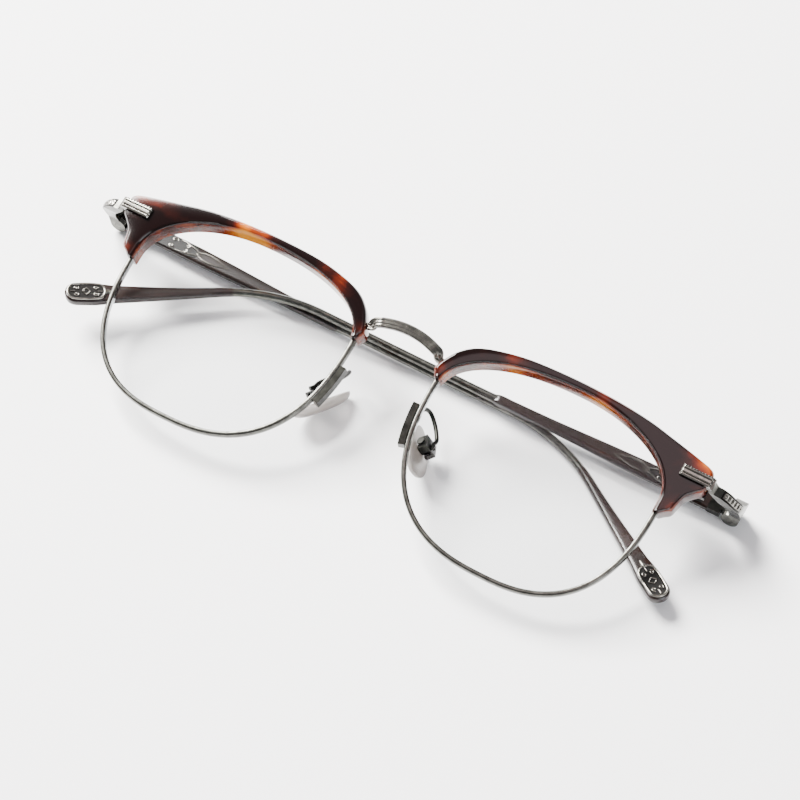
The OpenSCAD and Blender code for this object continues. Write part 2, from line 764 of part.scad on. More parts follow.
// Metal temple: a broad flat part, a round middle, and a core that runs into the tip sleeve.
module temple(name) {
    stations = concat(
        [leaf_end + EPS, 12, 18, 22, 26, 30, 34, 38, 42, 46, 50, rod_start, rod_start + 3],
        [for (k = [1:7]) rod_start + 3 + (bend_start - rod_start - 3) * k / 7],
        [for (k = [1:7]) bend_start + (tip_start - bend_start) * k / 7]
    );
    color(COATING) on_temple(name) skin(concat(
        [for (s = stations) temple_ring(s, lookup(s, TEMPLE_HEIGHT), lookup(s, TEMPLE_THICKNESS),
                                        lookup(s, TEMPLE_SQUARE))],
        [for (k = [0:3]) temple_ring(tip_start + core_l * k / 3, core_d, core_d, 2)]
    ));
}

TIP_WIDTH = [
    [tip_start, rod_d + 0.15], [tip_start + 6, 2.1], [tip_start + 14, 2.7], [tip_start + 20, 3.4],
    [tip_start + 25, 4.3], [tip_start + 28, paddle_w], [temple_l - 2.6, paddle_w],
    [temple_l - 1.2, 0.8 * paddle_w], [temple_l - 0.4, 0.55 * paddle_w], [temple_l, 0.25 * paddle_w]
];
TIP_THICKNESS = [
    [tip_start, rod_d + 0.15], [tip_start + 14, 1.9], [tip_start + 25, paddle_t],
    [temple_l - 0.4, paddle_t], [temple_l, 0.7 * paddle_t]
];
TIP_SQUARE = [[tip_start, 2], [tip_start + 14, 2.6], [tip_start + 25, 5], [temple_l, 4]];

function tip_ring(s) =
    temple_ring(s, lookup(s, TIP_WIDTH), lookup(s, TIP_THICKNESS), lookup(s, TIP_SQUARE));

// Sleeve over the core: up the bore from its bottom to the mouth, then along the outside.
module tip_sleeve(name) {
    bore = core_d + 2 * seat_gap;
    color(COATING) on_temple(name) skin(concat(
        [for (k = [3:-1:0]) temple_ring(tip_start + EPS + (core_l + EPS) * k / 3, bore, bore, 2)],
        [for (k = [0:15]) tip_ring(tip_start + EPS + (tip_l - 4) * k / 15)],
        [for (e = [2.6, 1.8, 1.2, 0.8, 0.4, 0.1, 0]) tip_ring(temple_l - e)]
    ));
}

// Oval inlay on the inner face of the paddle, with a plain raised border.
module tip_emblem(name) {
    c = temple_centre(emblem_s);
    slope = atan(2 * tip_sweep * (emblem_s - tip_start + 4) / pow(tip_l + 4, 2));
    oval = [for (a = [0:10:350]) [emblem_l / 2 * cos(a), emblem_w / 2 * sin(a)]];
    color("silver") on_temple(name) translate(c)
        rotate([0, 0, temple_turn(emblem_s)]) rotate([0, slope, 0])
            difference() {
                slab(oval, paddle_t / 2 + EPS, paddle_t / 2 + EPS + emblem_t);
                slab(0.84 * oval, paddle_t / 2 + emblem_t - 0.12, paddle_t);
            }
}

eyewire("left");  // eyewire_left
eyewire("right");  // eyewire_right
lens("left");  // lens_left
lens("right");  // lens_right
brow("left");  // brow_left
brow("right");  // brow_right
bridge();
endpiece("left");  // endpiece_left
endpiece("right");  // endpiece_right
front_plate("left");  // front_plate_left
front_plate("right");  // front_plate_right
back_plate("left");  // back_plate_left
back_plate("right");  // back_plate_right
rim_barrel("left");  // rim_barrel_left
rim_barrel("right");  // rim_barrel_right
rim_screw("left");  // rim_screw_left
rim_screw("right");  // rim_screw_right
brow_clip("left");  // brow_clip_left
brow_clip("right");  // brow_clip_right
brow_screw("left");  // brow_screw_left
brow_screw("right");  // brow_screw_right
pad_base("left");  // pad_base_left
pad_base("right");  // pad_base_right
pad_arm("left");  // pad_arm_left
pad_arm("right");  // pad_arm_right
pad_box("left");  // pad_box_left
pad_box("right");  // pad_box_right
pad_screw("left");  // pad_screw_left
pad_screw("right");  // pad_screw_right
nose_pad("left");  // nose_pad_left
nose_pad("right");  // nose_pad_right
pad_stud("left");  // pad_stud_left
pad_stud("right");  // pad_stud_right
hinge_screw("left");  // hinge_screw_left
hinge_screw("right");  // hinge_screw_right
hinge_washers("left");  // hinge_washers_left
hinge_washers("right");  // hinge_washers_right
hinge_leaf("left");  // hinge_leaf_left
hinge_leaf("right");  // hinge_leaf_right
temple("left");  // temple_left
temple("right");  // temple_right
tip_sleeve("left");  // tip_sleeve_left
tip_sleeve("right");  // tip_sleeve_right
tip_emblem("left");  // tip_emblem_left
tip_emblem("right");  // tip_emblem_right
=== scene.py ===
"""Half rim eyeglasses, folded and lying face up: their looks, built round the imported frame.

Lengths in this script are millimetres in the part's own frame unless a name says otherwise.
"""

import json
import logging
import math
from collections.abc import Callable, Sequence
from dataclasses import dataclass, field
from enum import Enum
from typing import Any

import bpy
import numpy as np
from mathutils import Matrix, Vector

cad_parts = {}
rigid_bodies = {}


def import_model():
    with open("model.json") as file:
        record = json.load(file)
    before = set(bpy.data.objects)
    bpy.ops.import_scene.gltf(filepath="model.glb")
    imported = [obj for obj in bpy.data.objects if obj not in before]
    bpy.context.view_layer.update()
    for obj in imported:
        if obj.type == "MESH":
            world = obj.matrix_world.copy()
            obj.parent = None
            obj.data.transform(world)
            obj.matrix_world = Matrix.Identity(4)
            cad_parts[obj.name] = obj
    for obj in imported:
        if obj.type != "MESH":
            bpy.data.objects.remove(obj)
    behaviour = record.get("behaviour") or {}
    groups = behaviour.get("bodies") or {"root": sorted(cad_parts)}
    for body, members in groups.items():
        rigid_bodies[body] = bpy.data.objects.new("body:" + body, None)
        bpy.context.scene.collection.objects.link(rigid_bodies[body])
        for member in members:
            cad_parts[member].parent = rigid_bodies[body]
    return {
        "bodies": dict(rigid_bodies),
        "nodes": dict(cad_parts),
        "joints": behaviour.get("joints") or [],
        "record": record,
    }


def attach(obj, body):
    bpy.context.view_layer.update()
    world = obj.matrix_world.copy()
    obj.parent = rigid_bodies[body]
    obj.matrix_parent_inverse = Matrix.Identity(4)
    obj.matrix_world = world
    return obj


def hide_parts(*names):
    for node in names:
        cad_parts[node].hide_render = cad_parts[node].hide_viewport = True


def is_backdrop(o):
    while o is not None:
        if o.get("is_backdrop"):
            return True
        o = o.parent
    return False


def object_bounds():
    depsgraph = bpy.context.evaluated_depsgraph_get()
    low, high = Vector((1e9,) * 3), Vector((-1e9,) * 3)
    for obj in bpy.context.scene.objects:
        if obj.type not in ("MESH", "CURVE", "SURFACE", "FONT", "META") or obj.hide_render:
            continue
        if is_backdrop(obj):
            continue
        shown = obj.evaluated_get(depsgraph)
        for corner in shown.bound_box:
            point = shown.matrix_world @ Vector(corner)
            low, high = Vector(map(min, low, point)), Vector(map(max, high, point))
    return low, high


Array = np.ndarray
LOG = logging.getLogger("eyeglasses")
MM = 0.001


class Side(Enum):
    """The wearer's left is +X."""

    LEFT = "left"
    RIGHT = "right"

    @property
    def sign(self) -> float:
        """Sign of X on this side."""
        return 1.0 if self is Side.LEFT else -1.0

    def place(self, points: Array) -> Array:
        """Moves points made for the left side to this side.

        Args:
            points: Places on the left side, (..., 3).

        Returns:
            The same places, mirrored for the right side.
        """
        return points * np.array([self.sign, 1.0, 1.0])


class Slot(Enum):
    """Material slots of the record."""

    TITANIUM = "titanium"
    DARK_TITANIUM = "dark_titanium"
    SILVER = "silver"
    SCREWS = "steel_screws"
    TORTOISE = "tortoise_acetate"
    LENS = "clear_lens"
    COATING = "brown_coating"
    TIP = "brown_tip"
    PAD = "pad_silicone"
    NYLON = "nylon"


# ---- curves and turns ----


def turn(axis: str, degrees: float) -> Array:
    """Rotation matrix about one axis.

    Args:
        axis: "x", "y" or "z".
        degrees: Angle by the right-hand rule.

    Returns:
        A 3 by 3 matrix.
    """
    c, s = math.cos(math.radians(degrees)), math.sin(math.radians(degrees))
    i = "xyz".index(axis)
    j, k = (i + 1) % 3, (i + 2) % 3
    m = np.eye(3)
    m[j, j], m[j, k], m[k, j], m[k, k] = c, -s, s, c
    return m


def unit(v: Array) -> Array:
    """Vectors of length one.

    Args:
        v: Vectors, (..., n).

    Returns:
        The vectors divided by their lengths.
    """
    return v / np.maximum(np.linalg.norm(v, axis=-1, keepdims=True), 1e-12)


def spline(points: Sequence | Array, count: int) -> Array:
    """Catmull-Rom curve through points, evenly stepped between them.

    Args:
        points: Knots, (k, n).
        count: How many places to return.

    Returns:
        Places on the curve, (count, n).
    """
    p = np.asarray(points, float)
    u = np.linspace(0, len(p) - 1, count)
    i = np.minimum(u.astype(int), len(p) - 2)
    f = (u - i)[:, None]
    a, b, c, d = (p[np.clip(i + k, 0, len(p) - 1)] for k in (-1, 0, 1, 2))
    return (2 * b + f * (c - a) + f**2 * (2 * a - 5 * b + 4 * c - d) + f**3 * (3 * b - a - 3 * c + d)) / 2


def eased(s: Array, knots: Sequence[tuple[float, float]]) -> Array:
    """A smooth function of s through knots: cubics whose slopes never overshoot the knots.

    Args:
        s: Where to read it.
        knots: Pairs of place and value, in order of place.

    Returns:
        Values at s.
    """
    x, y = np.array(knots, float).T
    i = np.clip(np.searchsorted(x, s) - 1, 0, len(x) - 2)
    w = np.diff(y) / np.diff(x)
    both, total = w[:-1] * w[1:], w[:-1] + w[1:]
    inner = np.where(both > 0, 2 * w[:-1] * w[1:] / np.where(total == 0, 1, total), 0)
    m = np.concatenate([[w[0]], inner, [w[-1]]])
    h = x[i + 1] - x[i]
    f = np.clip((s - x[i]) / h, 0, 1)
    return (
        y[i] * (1 + 2 * f) * (1 - f) ** 2
        + y[i + 1] * f**2 * (3 - 2 * f)
        + h * (m[i] * f * (1 - f) ** 2 - m[i + 1] * f**2 * (1 - f))
    )


def rounded(count: int, squareness: Array | float) -> tuple[Array, Array]:
    """Unit section between an ellipse and a rectangle.

    Args:
        count: Points round the section.
        squareness: 2 is an ellipse, and a higher value is squarer.

    Returns:
        The two coordinates, each from -1 to 1.
    """
    a = 2 * np.pi * (np.arange(count) + 0.5) / count
    e = 2 / np.asarray(squareness, float)
    return np.sign(np.cos(a)) * np.abs(np.cos(a)) ** e, np.sign(np.sin(a)) * np.abs(np.sin(a)) ** e


# ---- the frames that pieces are drawn in ----


@dataclass(frozen=True)
class Front:
    """The front: its lens outline and how it lies on the table."""

    lens_w: float = 50.0
    lens_h: float = 41.9
    bridge_w: float = 19.0
    outer_widest: float = 13.4
    inner_widest: float = 12.3
    fullness: tuple[float, float, float, float] = (2.07, 2.2, 2.48, 2.62)
    face_form: float = 1.8
    tilt: float = 13.3
    rise: float = 11.58
    centre_y: float = -0.6
    rim_out: float = 0.6
    brow_front: float = 2.1
    brow_in: float = 0.5

    @property
    def lens_x(self) -> float:
        """Lens centre from the middle of the bridge."""
        return (self.lens_w + self.bridge_w) / 2

    @property
    def top(self) -> float:
        """Height of the lens edge above the lens centre."""
        return self.lens_h / 2

    def rim(self, t: Array, grow: Array | float = 0.0) -> Array:
        """The lens edge line: four quarter superellipses.

        Args:
            t: Angles in degrees, 0 on the temple side and 90 at the top.
            grow: Distance outside the line.

        Returns:
            X and Y in the front's own plane, (..., 2).
        """
        t, grow = np.broadcast_arrays(np.radians(np.asarray(t, float)), grow)
        c, s = np.cos(t), np.sin(t)
        cx = np.where(s > 0, 0.024, 0.016) * self.lens_w
        cy = self.top - np.where(c > 0, self.outer_widest, self.inner_widest)
        a = self.lens_w / 2 - np.sign(c) * cx
        b = self.top - np.sign(s) * cy
        uo, ui, li, lo = self.fullness
        n = np.where(s > 0, np.where(c > 0, uo, ui), np.where(c > 0, lo, li))
        u, v = np.abs(c) ** (2 / n), np.abs(s) ** (2 / n)
        normal = unit(np.stack([np.sign(c) * u ** (n - 1) / a, np.sign(s) * v ** (n - 1) / b], -1))
        line = np.stack([self.lens_x + cx + np.sign(c) * a * u, cy + np.sign(s) * b * v], -1)
        return line + grow[..., None] * normal

    def half(self, points: Array, side: Side) -> Array:
        """Places drawn on one half of the front, moved to the row frame."""
        return self.whole(side.place(points @ turn("y", self.face_form).T))

    def whole(self, points: Array) -> Array:
        """Places drawn on the front without face form, moved to the row frame."""
        return self.level(points @ turn("x", self.tilt).T)

    def level(self, points: Array) -> Array:
        """Places drawn level, from the middle of the front, moved to the row frame."""
        return points + np.array([0.0, self.centre_y, self.rise])


@dataclass(frozen=True)
class Temple:
    """A temple's line, from the hinge axis at s = 0 to its tip."""

    hinge: tuple[float, float, float] = (70.9, 17.777, 2.3)
    length: float = 146.0
    tip: float = 34.0
    drop: float = 53.0
    bend_r: float = 37.0
    bend_angle: float = 35.0
    sweep: float = 2.8
    sweep_lead: float = 4.0
    settle: tuple[tuple[float, float], ...] = ((18.0, 0.0), (34.0, 0.25), (54.0, 0.6))
    rod: float = 1.7
    lift: dict[Side, float] = field(default_factory=lambda: {Side.LEFT: 0.96, Side.RIGHT: -0.64})

    @property
    def tip_start(self) -> float:
        """Where the tip sleeve begins."""
        return self.length - self.tip

    def slope(self, s: Array) -> Array:
        """Turn of the line at s, in radians."""
        run = math.radians(self.bend_angle) * self.bend_r
        return np.clip((s - self.length + self.drop) / run, 0, 1) * math.radians(self.bend_angle)

    def centre(self, s: Array) -> Array:
        """The line: straight, then round an arc, then straight, settling a little before its rod part.

        It leaves the plane of the face by a square law towards the tip.

        Args:
            s: Distance from the hinge axis.

        Returns:
            Places in the temple's frame, (..., 3).
        """
        a = self.slope(s)
        start = self.length - self.drop
        after = np.maximum(s - start - math.radians(self.bend_angle) * self.bend_r, 0)
        x = np.minimum(s, start) + self.bend_r * np.sin(a) + after * np.cos(a)
        settled = np.interp(s, *np.array(self.settle).T)
        y = -self.bend_r * (1 - np.cos(a)) - after * np.sin(a) - settled
        past = np.maximum(s - self.tip_start + self.sweep_lead, 0)
        z = self.sweep * (past / (self.tip + self.sweep_lead)) ** 2
        return np.stack([-x, y, z], -1)

    def at(self, s: Array, up: Array, out: Array) -> Array:
        """Places beside the line.

        Args:
            s: Distance along the line.
            up: Distance across the temple's height, in its own plane.
            out: Distance out of its inner face.

        Returns:
            Places in the temple's frame, (..., 3).
        """
        s, up, out = np.broadcast_arrays(s, up, out)
        a = self.slope(s)
        across = np.stack([-np.sin(a), np.cos(a), np.zeros_like(a)], -1)
        return self.centre(s) + up[..., None] * across + out[..., None] * np.array([0, 0, 1.0])

    def place(self, points: Array, side: Side) -> Array:
        """Places in the temple's frame, moved to the row frame."""
        return side.place(points @ turn("y", self.lift[side]).T + np.array(self.hinge))


@dataclass(frozen=True)
class Pad:
    """A nose pad's frame: X out of its back, Y along it and Z across it."""

    centre: tuple[float, float, float] = (11.5, -0.35, -8.0)
    turns: tuple[float, float, float] = (-18.3, -30.7, 34.8)
    length: float = 14.0
    width: float = 6.6
    thickness: float = 2.2

    def level(self, points: Array) -> Array:
        """Places in the pad's frame, turned level, from the middle of the front."""
        a, b, c = self.turns
        return points @ (turn("z", c) @ turn("y", b) @ turn("x", a)).T + np.array(self.centre)


FRONT, TEMPLE, PAD = Front(), Temple(), Pad()


# ---- meshes ----


@dataclass
class Sheet:
    """A closed surface on a grid of points: a tube, capped at its ends or joined end to end."""

    points: Array
    joined: bool = False
    fields: dict[str, Array] = field(default_factory=dict)

    def faces(self) -> tuple[Array, list[Array]]:
        """The surface's faces, turned outwards.

        Returns:
            Four-sided faces (k, 4), and the end faces.
        """
        n, m = self.points.shape[:2]
        grid = np.arange(n * m).reshape(n, m)
        rows = n if self.joined else n - 1
        i, j = np.meshgrid(np.arange(rows), np.arange(m), indexing="ij")
        i2, j2 = (i + 1) % n, (j + 1) % m
        quads = np.stack([grid[i, j], grid[i, j2], grid[i2, j2], grid[i2, j]], -1).reshape(-1, 4)
        caps = [] if self.joined else [grid[0, ::-1], grid[-1]]
        p = self.points.reshape(-1, 3)
        fans = [quads[:, [0, 1, 2]], quads[:, [0, 2, 3]]]
        fans += [np.stack([np.full(len(c) - 2, c[0]), c[1:-1], c[2:]], -1) for c in caps]
        tri = p[np.concatenate(fans)]
        if np.einsum("ij,ij->i", tri[:, 0], np.cross(tri[:, 1], tri[:, 2])).sum() < 0:
            return quads[:, ::-1], [c[::-1] for c in caps]
        return quads, caps


@dataclass
class Piece:
    """One object of the visual model and how it goes with the frame."""

    name: str
    sheets: list[Sheet]
    slot: Slot
    body: str
    stands_for: tuple[str, ...] = ()
    sharp: float = 38.0
    finish: str | None = None

    def build(self, finishes: "Finishes") -> bpy.types.Object:
        """Makes the mesh, gives it its finish and ties it to its body.

        Args:
            finishes: The materials.

        Returns:
            The new object.
        """
        start, loops, sizes = 0, [], []
        for sheet in self.sheets:
            quads, caps = sheet.faces()
            loops += [quads.ravel() + start] + [c + start for c in caps]
            sizes += [np.full(len(quads), 4)] + [np.array([len(c)]) for c in caps]
            start += sheet.points.shape[0] * sheet.points.shape[1]
        flat, size = np.concatenate(loops), np.concatenate(sizes)
        mesh = bpy.data.meshes.new(self.name)
        mesh.vertices.add(start)
        places = np.concatenate([sheet.points.reshape(-1, 3) for sheet in self.sheets])
        mesh.vertices.foreach_set("co", places.ravel() * MM)
        mesh.loops.add(len(flat))
        mesh.loops.foreach_set("vertex_index", flat.astype(np.int32))
        mesh.polygons.add(len(size))
        mesh.polygons.foreach_set("loop_start", (np.cumsum(size) - size).astype(np.int32))
        mesh.polygons.foreach_set("use_smooth", np.ones(len(size), bool))
        mesh.update(calc_edges=True)
        mesh.set_sharp_from_angle(angle=math.radians(self.sharp))
        for key in self.sheets[0].fields:
            values = np.concatenate([np.asarray(s.fields[key], float).ravel() for s in self.sheets])
            mesh.attributes.new(key, "FLOAT", "POINT").data.foreach_set("value", values)
        obj = bpy.data.objects.new(self.name, mesh)
        bpy.context.scene.collection.objects.link(obj)
        mesh.materials.append(finishes.get(self.finish or self.slot.value))
        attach(obj, self.body)
        if self.stands_for:
            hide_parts(*self.stands_for)
        LOG.info("%s: %d vertices, %d faces", self.name, start, len(size))
        return obj


def tube(path: Array, radius: Array | float, sides: int, hint: Sequence[float] = (0.3, 0.2, 1.0)) -> Sheet:
    """Round wire along a path.

    Args:
        path: Places along it, (n, 3).
        radius: Its radius, one value or one for each place.
        sides: Points round it.
        hint: A direction the wire never runs along.

    Returns:
        The wire, capped.
    """
    d = unit(np.gradient(path, axis=0))
    w = unit(np.cross(d, np.array(hint, float)))
    f = np.cross(d, w)
    a = 2 * np.pi * np.arange(sides) / sides
    r = np.broadcast_to(radius, len(path))[:, None, None]
    ring = np.cos(a)[None, :, None] * w[:, None] + np.sin(a)[None, :, None] * f[:, None]
    return Sheet(path[:, None] + r * ring)


# ---- finishes ----


def linear(code: str) -> tuple[float, float, float, float]:
    """Colour of an sRGB hex code.

    Args:
        code: Such as "#8d8d88".

    Returns:
        Linear red, green, blue and full alpha.
    """
    c = np.array([int(code[i : i + 2], 16) for i in (1, 3, 5)]) / 255
    c = np.where(c <= 0.04045, c / 12.92, ((c + 0.055) / 1.055) ** 2.4)
    return (*(float(x) for x in c), 1.0)


class Tree:
    """A material's node tree."""

    def __init__(self, name: str) -> None:
        """Makes the material.

        Args:
            name: Its name.
        """
        self.material = bpy.data.materials.new(name)
        self.material.use_nodes = True
        self.tree = self.material.node_tree
        self.tree.nodes.clear()

    def add(self, kind: str, inputs: dict[Any, Any] | None = None, **settings: Any) -> bpy.types.Node:
        """Adds one node.

        Args:
            kind: The node's type without "ShaderNode".
            inputs: Input name or number to a value, or to the output that feeds it.
            **settings: The node's own settings.

        Returns:
            The node.
        """
        node = self.tree.nodes.new("ShaderNode" + kind)
        for key, value in settings.items():
            setattr(node, key, value)
        for key, value in (inputs or {}).items():
            if isinstance(value, bpy.types.NodeSocket):
                self.tree.links.new(value, node.inputs[key])
            else:
                node.inputs[key].default_value = value
        return node

    def ramp(self, fac: bpy.types.NodeSocket, stops: Sequence[tuple[float, str]]) -> bpy.types.NodeSocket:
        """Adds a colour ramp.

        Args:
            fac: What drives it.
            stops: Pairs of place and hex colour.

        Returns:
            Its colour output.
        """
        node = self.add("ValToRGB", {"Fac": fac})
        points = node.color_ramp.elements
        while len(points) < len(stops):
            points.new(0.5)
        for point, (place, code) in zip(points, stops, strict=True):
            point.position, point.color = place, linear(code)
        return node.outputs["Color"]

    def noise(
        self, scale: float, detail: float, stretch: Sequence[float] = (1, 1, 1)
    ) -> bpy.types.NodeSocket:
        """Adds noise over the piece's own coordinates.

        Args:
            scale: Cells in a metre.
            detail: Layers of finer noise.
            stretch: Scale along each axis.

        Returns:
            Its value output.
        """
        where = self.add("TexCoord").outputs["Object"]
        moved = self.add("Mapping", {"Vector": where, "Scale": tuple(stretch)}).outputs[0]
        return self.add("TexNoise", {"Vector": moved, "Scale": scale, "Detail": detail}).outputs["Fac"]

    def bump(self, height: bpy.types.NodeSocket, strength: float, depth: float) -> bpy.types.NodeSocket:
        """Adds a bump.

        Args:
            height: What raises it.
            strength: From 0 to 1.
            depth: Its depth in metres.

        Returns:
            The normal.
        """
        return self.add("Bump", {"Height": height, "Strength": strength, "Distance": depth}).outputs[0]

    def finish(self, shader: bpy.types.Node) -> bpy.types.Material:
        """Ends the tree.

        Args:
            shader: The last shader.

        Returns:
            The material.
        """
        self.add("OutputMaterial", {"Surface": shader.outputs[0]})
        return self.material


@dataclass(frozen=True)
class Metal:
    """A plain metal's look."""

    dark: str
    light: str
    roughness: float

    def make(self, name: str) -> bpy.types.Material:
        """Makes the material.

        Args:
            name: Its name.

        Returns:
            Metal with a slow change of shade and a fine grain.
        """
        t = Tree(name)
        # shade changes over about 1.4 mm; the grain is about 0.4 mm, coarser than real, so that it shows
        colour = t.ramp(t.noise(700, 3), [(0.35, self.dark), (0.65, self.light)])
        normal = t.bump(t.noise(2600, 4), 0.25, 0.02 * MM)
        inputs = {"Base Color": colour, "Metallic": 1.0, "Roughness": self.roughness, "Normal": normal}
        return t.finish(t.add("BsdfPrincipled", inputs))


@dataclass(frozen=True)
class Lacquer:
    """A glossy dark coat."""

    dark: str
    light: str
    roughness: float
    shine: float = 0.5

    def make(self, name: str) -> bpy.types.Material:
        """Makes the material.

        Args:
            name: Its name.

        Returns:
            A dark coat with a slow change of shade.
        """
        t = Tree(name)
        inputs = {
            "Base Color": t.ramp(t.noise(160, 2), [(0.35, self.dark), (0.75, self.light)]),
            "Roughness": self.roughness,
            "Specular IOR Level": self.shine,
        }
        return t.finish(t.add("BsdfPrincipled", inputs))


def tortoise(name: str) -> bpy.types.Material:
    """Polished tortoise acetate. A value on the piece says where it turns light: its patches, and a painted
    glow on its walls.

    Args:
        name: The material's name.

    Returns:
        The material.
    """
    t = Tree(name)
    # the attribute adds the pattern's light patches and the painted glow of light through the walls
    amber_and_painted_glow = t.add("Attribute", attribute_name="amber_and_painted_glow").outputs["Fac"]
    # clouds about 7 mm across, a little drawn out along the bar
    cloud = t.noise(150, 3.5, (1.0, 1.6, 1.2))
    mixed = t.add("Math", {0: cloud, 1: 0.62}, operation="MULTIPLY").outputs[0]
    fac = t.add("Math", {0: mixed, 1: amber_and_painted_glow}, operation="ADD", use_clamp=True).outputs[0]
    dark = [(0.34, "#0a0303"), (0.5, "#1b0705"), (0.62, "#3e1107")]
    light = [(0.74, "#702a08"), (0.87, "#9a5209"), (1.0, "#bb7515")]
    inputs = {"Base Color": t.ramp(fac, dark + light), "Roughness": 0.1, "IOR": 1.34}
    return t.finish(t.add("BsdfPrincipled", inputs))


def clear_lens(name: str) -> bpy.types.Material:
    """Clear coated resin lens: it passes light and mirrors a little of the room.

    Args:
        name: The material's name.

    Returns:
        The material.
    """
    t = Tree(name)
    clear = t.add("BsdfTransparent", {"Color": (0.985, 0.99, 0.99, 1)})
    mirror = t.add("BsdfGlossy", {"Color": (0.95, 0.97, 1.0, 1), "Roughness": 0.02})
    edge = t.add("Fresnel", {"IOR": 1.35}).outputs[0]
    fac = t.add("Math", {0: edge, 1: 0.3}, operation="MULTIPLY").outputs[0]
    return t.finish(t.add("MixShader", {0: fac, 1: clear.outputs[0], 2: mirror.outputs[0]}))


def pad_silicone(name: str) -> bpy.types.Material:
    """Moulded silicone: milky and see-through, with painted shade: paler where it faces the eye and dark
    towards its outline.

    Args:
        name: The material's name.

    Returns:
        The material.
    """
    t = Tree(name)
    facing = t.add("LayerWeight", {"Blend": 0.35}).outputs["Facing"]
    # painted shade: the colour darkens from a pale middle to a dark outline as the surface turns from the
    # eye
    colour = t.ramp(facing, [(0.0, "#b9b2ac"), (0.45, "#827a74"), (1.0, "#2b2725")])
    inputs = {"Base Color": colour, "Roughness": 0.28, "IOR": 1.41}
    inputs |= {"Transmission Weight": 0.25, "Coat Weight": 0.3}
    body = t.add("BsdfPrincipled", inputs)
    clear = t.add("BsdfTransparent", {"Color": (0.93, 0.91, 0.9, 1)})
    fac = t.add("Math", {0: facing, 1: 0.62}, operation="ADD", use_clamp=True).outputs[0]
    return t.finish(t.add("MixShader", {0: fac, 1: clear.outputs[0], 2: body.outputs[0]}))


class Finishes:
    """Makes each material once."""

    makers: dict[str, Callable[[str], bpy.types.Material]] = {
        # polished and antiqued titanium in three shades: grey, nearly black, and bright where it is worn; on
        # the bridge the bright shade is a painted highlight
        Slot.TITANIUM.value: Metal("#454541", "#5e5e59", 0.25).make,
        Slot.DARK_TITANIUM.value: Metal("#1b1b19", "#2c2c29", 0.3).make,
        Slot.SILVER.value: Metal("#6c6a65", "#8a8780", 0.22).make,
        # turned steel, a little duller than the frame
        Slot.SCREWS.value: Metal("#4a4a46", "#5e5e59", 0.28).make,
        Slot.TORTOISE.value: tortoise,
        Slot.LENS.value: clear_lens,
        # baked brown lacquer on the temples, and polished acetate sleeves a shade lighter
        Slot.COATING.value: Lacquer("#110a08", "#1b110e", 0.22, 0.3).make,
        Slot.TIP.value: Lacquer("#130b09", "#231612", 0.22, 0.4).make,
        Slot.PAD.value: pad_silicone,
        # pale moulded nylon of the washers, half matt
        Slot.NYLON.value: Lacquer("#a5a49f", "#adaca7", 0.5).make,
        # black enamel in the grounds of the ornament
        "recess": Lacquer("#050403", "#0b0807", 0.35, 0.15).make,
    }

    def __init__(self) -> None:
        """Starts with no material made."""
        self.made: dict[str, bpy.types.Material] = {}

    def get(self, name: str) -> bpy.types.Material:
        """The material of that name.

        Args:
            name: A record slot or another finish.

        Returns:
            The material.
        """
        if name not in self.made:
            self.made[name] = self.makers[name](name)
        return self.made[name]


# ---- rims and lenses ----


@dataclass(frozen=True)
class Rims:
    """The thin metal rings and their lenses, with sizes measured from the lens edge line."""

    wire_mid: float = 0.08
    wire_half: float = 0.52
    wire_half_deep: float = 0.85
    wire_squareness: float = 3.6
    lens_inset: float = 0.46
    lens_dome: float = 0.5
    lens_thick: float = 1.5

    def eyewire(self, side: Side) -> Piece:
        """The ring: a rounded rectangular section carried round the lens edge line.

        Args:
            side: Which lens it holds.

        Returns:
            The ring, joined end to end.
        """
        t = np.linspace(0, 360, 241)[:-1]
        radial, deep = rounded(20, self.wire_squareness)
        flat = FRONT.rim(t[:, None], self.wire_mid + self.wire_half * radial[None, :])
        z = np.broadcast_to(self.wire_half_deep * deep, flat.shape[:2])
        ring = Sheet(FRONT.half(np.concatenate([flat, z[..., None]], -1), side), joined=True)
        return Piece(f"rim_{side.value}", [ring], Slot.TITANIUM, "front", (f"eyewire_{side.value}",))

    def lens(self, side: Side) -> Piece:
        """The lens: its edge line shrunk towards its centre, out over the front and back over the rear.

        Both faces rise by a dome that falls with the square of the way out.

        Args:
            side: Which side it is on.

        Returns:
            The lens.
        """
        rings, eye = 18, 0.02
        t = np.linspace(0, 360, 145)[:-1]
        share = np.concatenate([np.linspace(eye, 1, rings), np.linspace(1, eye, rings)])
        half = self.lens_thick / 2
        z = self.lens_dome * (1 - share**2) + np.where(np.arange(2 * rings) < rings, half, -half)
        centre = np.array([FRONT.lens_x, 0.0])
        flat = centre + (FRONT.rim(t, -self.lens_inset)[None] - centre) * share[:, None, None]
        points = np.concatenate([flat, np.broadcast_to(z[:, None, None], (*flat.shape[:2], 1))], -1)
        node = f"lens_{side.value}"
        return Piece(f"clear_{node}", [Sheet(FRONT.half(points, side))], Slot.LENS, "front", (node,))

    def pieces(self, side: Side) -> list[Piece]:
        """The ring and lens of one side."""
        return [self.eyewire(side), self.lens(side)]


# ---- brows ----

# Brow edge from its temple end over the top to its nose end: X from the lens centre, Y, and
# the angle of the lens edge line that it faces.
BROW_EDGE = (
    (26.7, 6.15, -1.2), (27.8, 7.05, -0.2), (28.2, 8.55, 4), (28.8, 10.55, 12), (30.1, 12.05, 17),
    (31.4, 13.35, 22), (31.9, 14.95, 26), (31.9, 16.45, 30), (31.0, 17.75, 34), (28.0, 18.65, 40),
    (21.5, 20.1, 52), (15.5, 21.3, 62), (7.5, 22.1, 76), (-1.5, 22.25, 91), (-10.5, 21.75, 106),
    (-17.0, 20.5, 118), (-21.2, 19.0, 128), (-23.9, 16.85, 138), (-25.6, 14.25, 150),
    (-26.5, 11.95, 163), (-26.1, 10.75, 170),
)
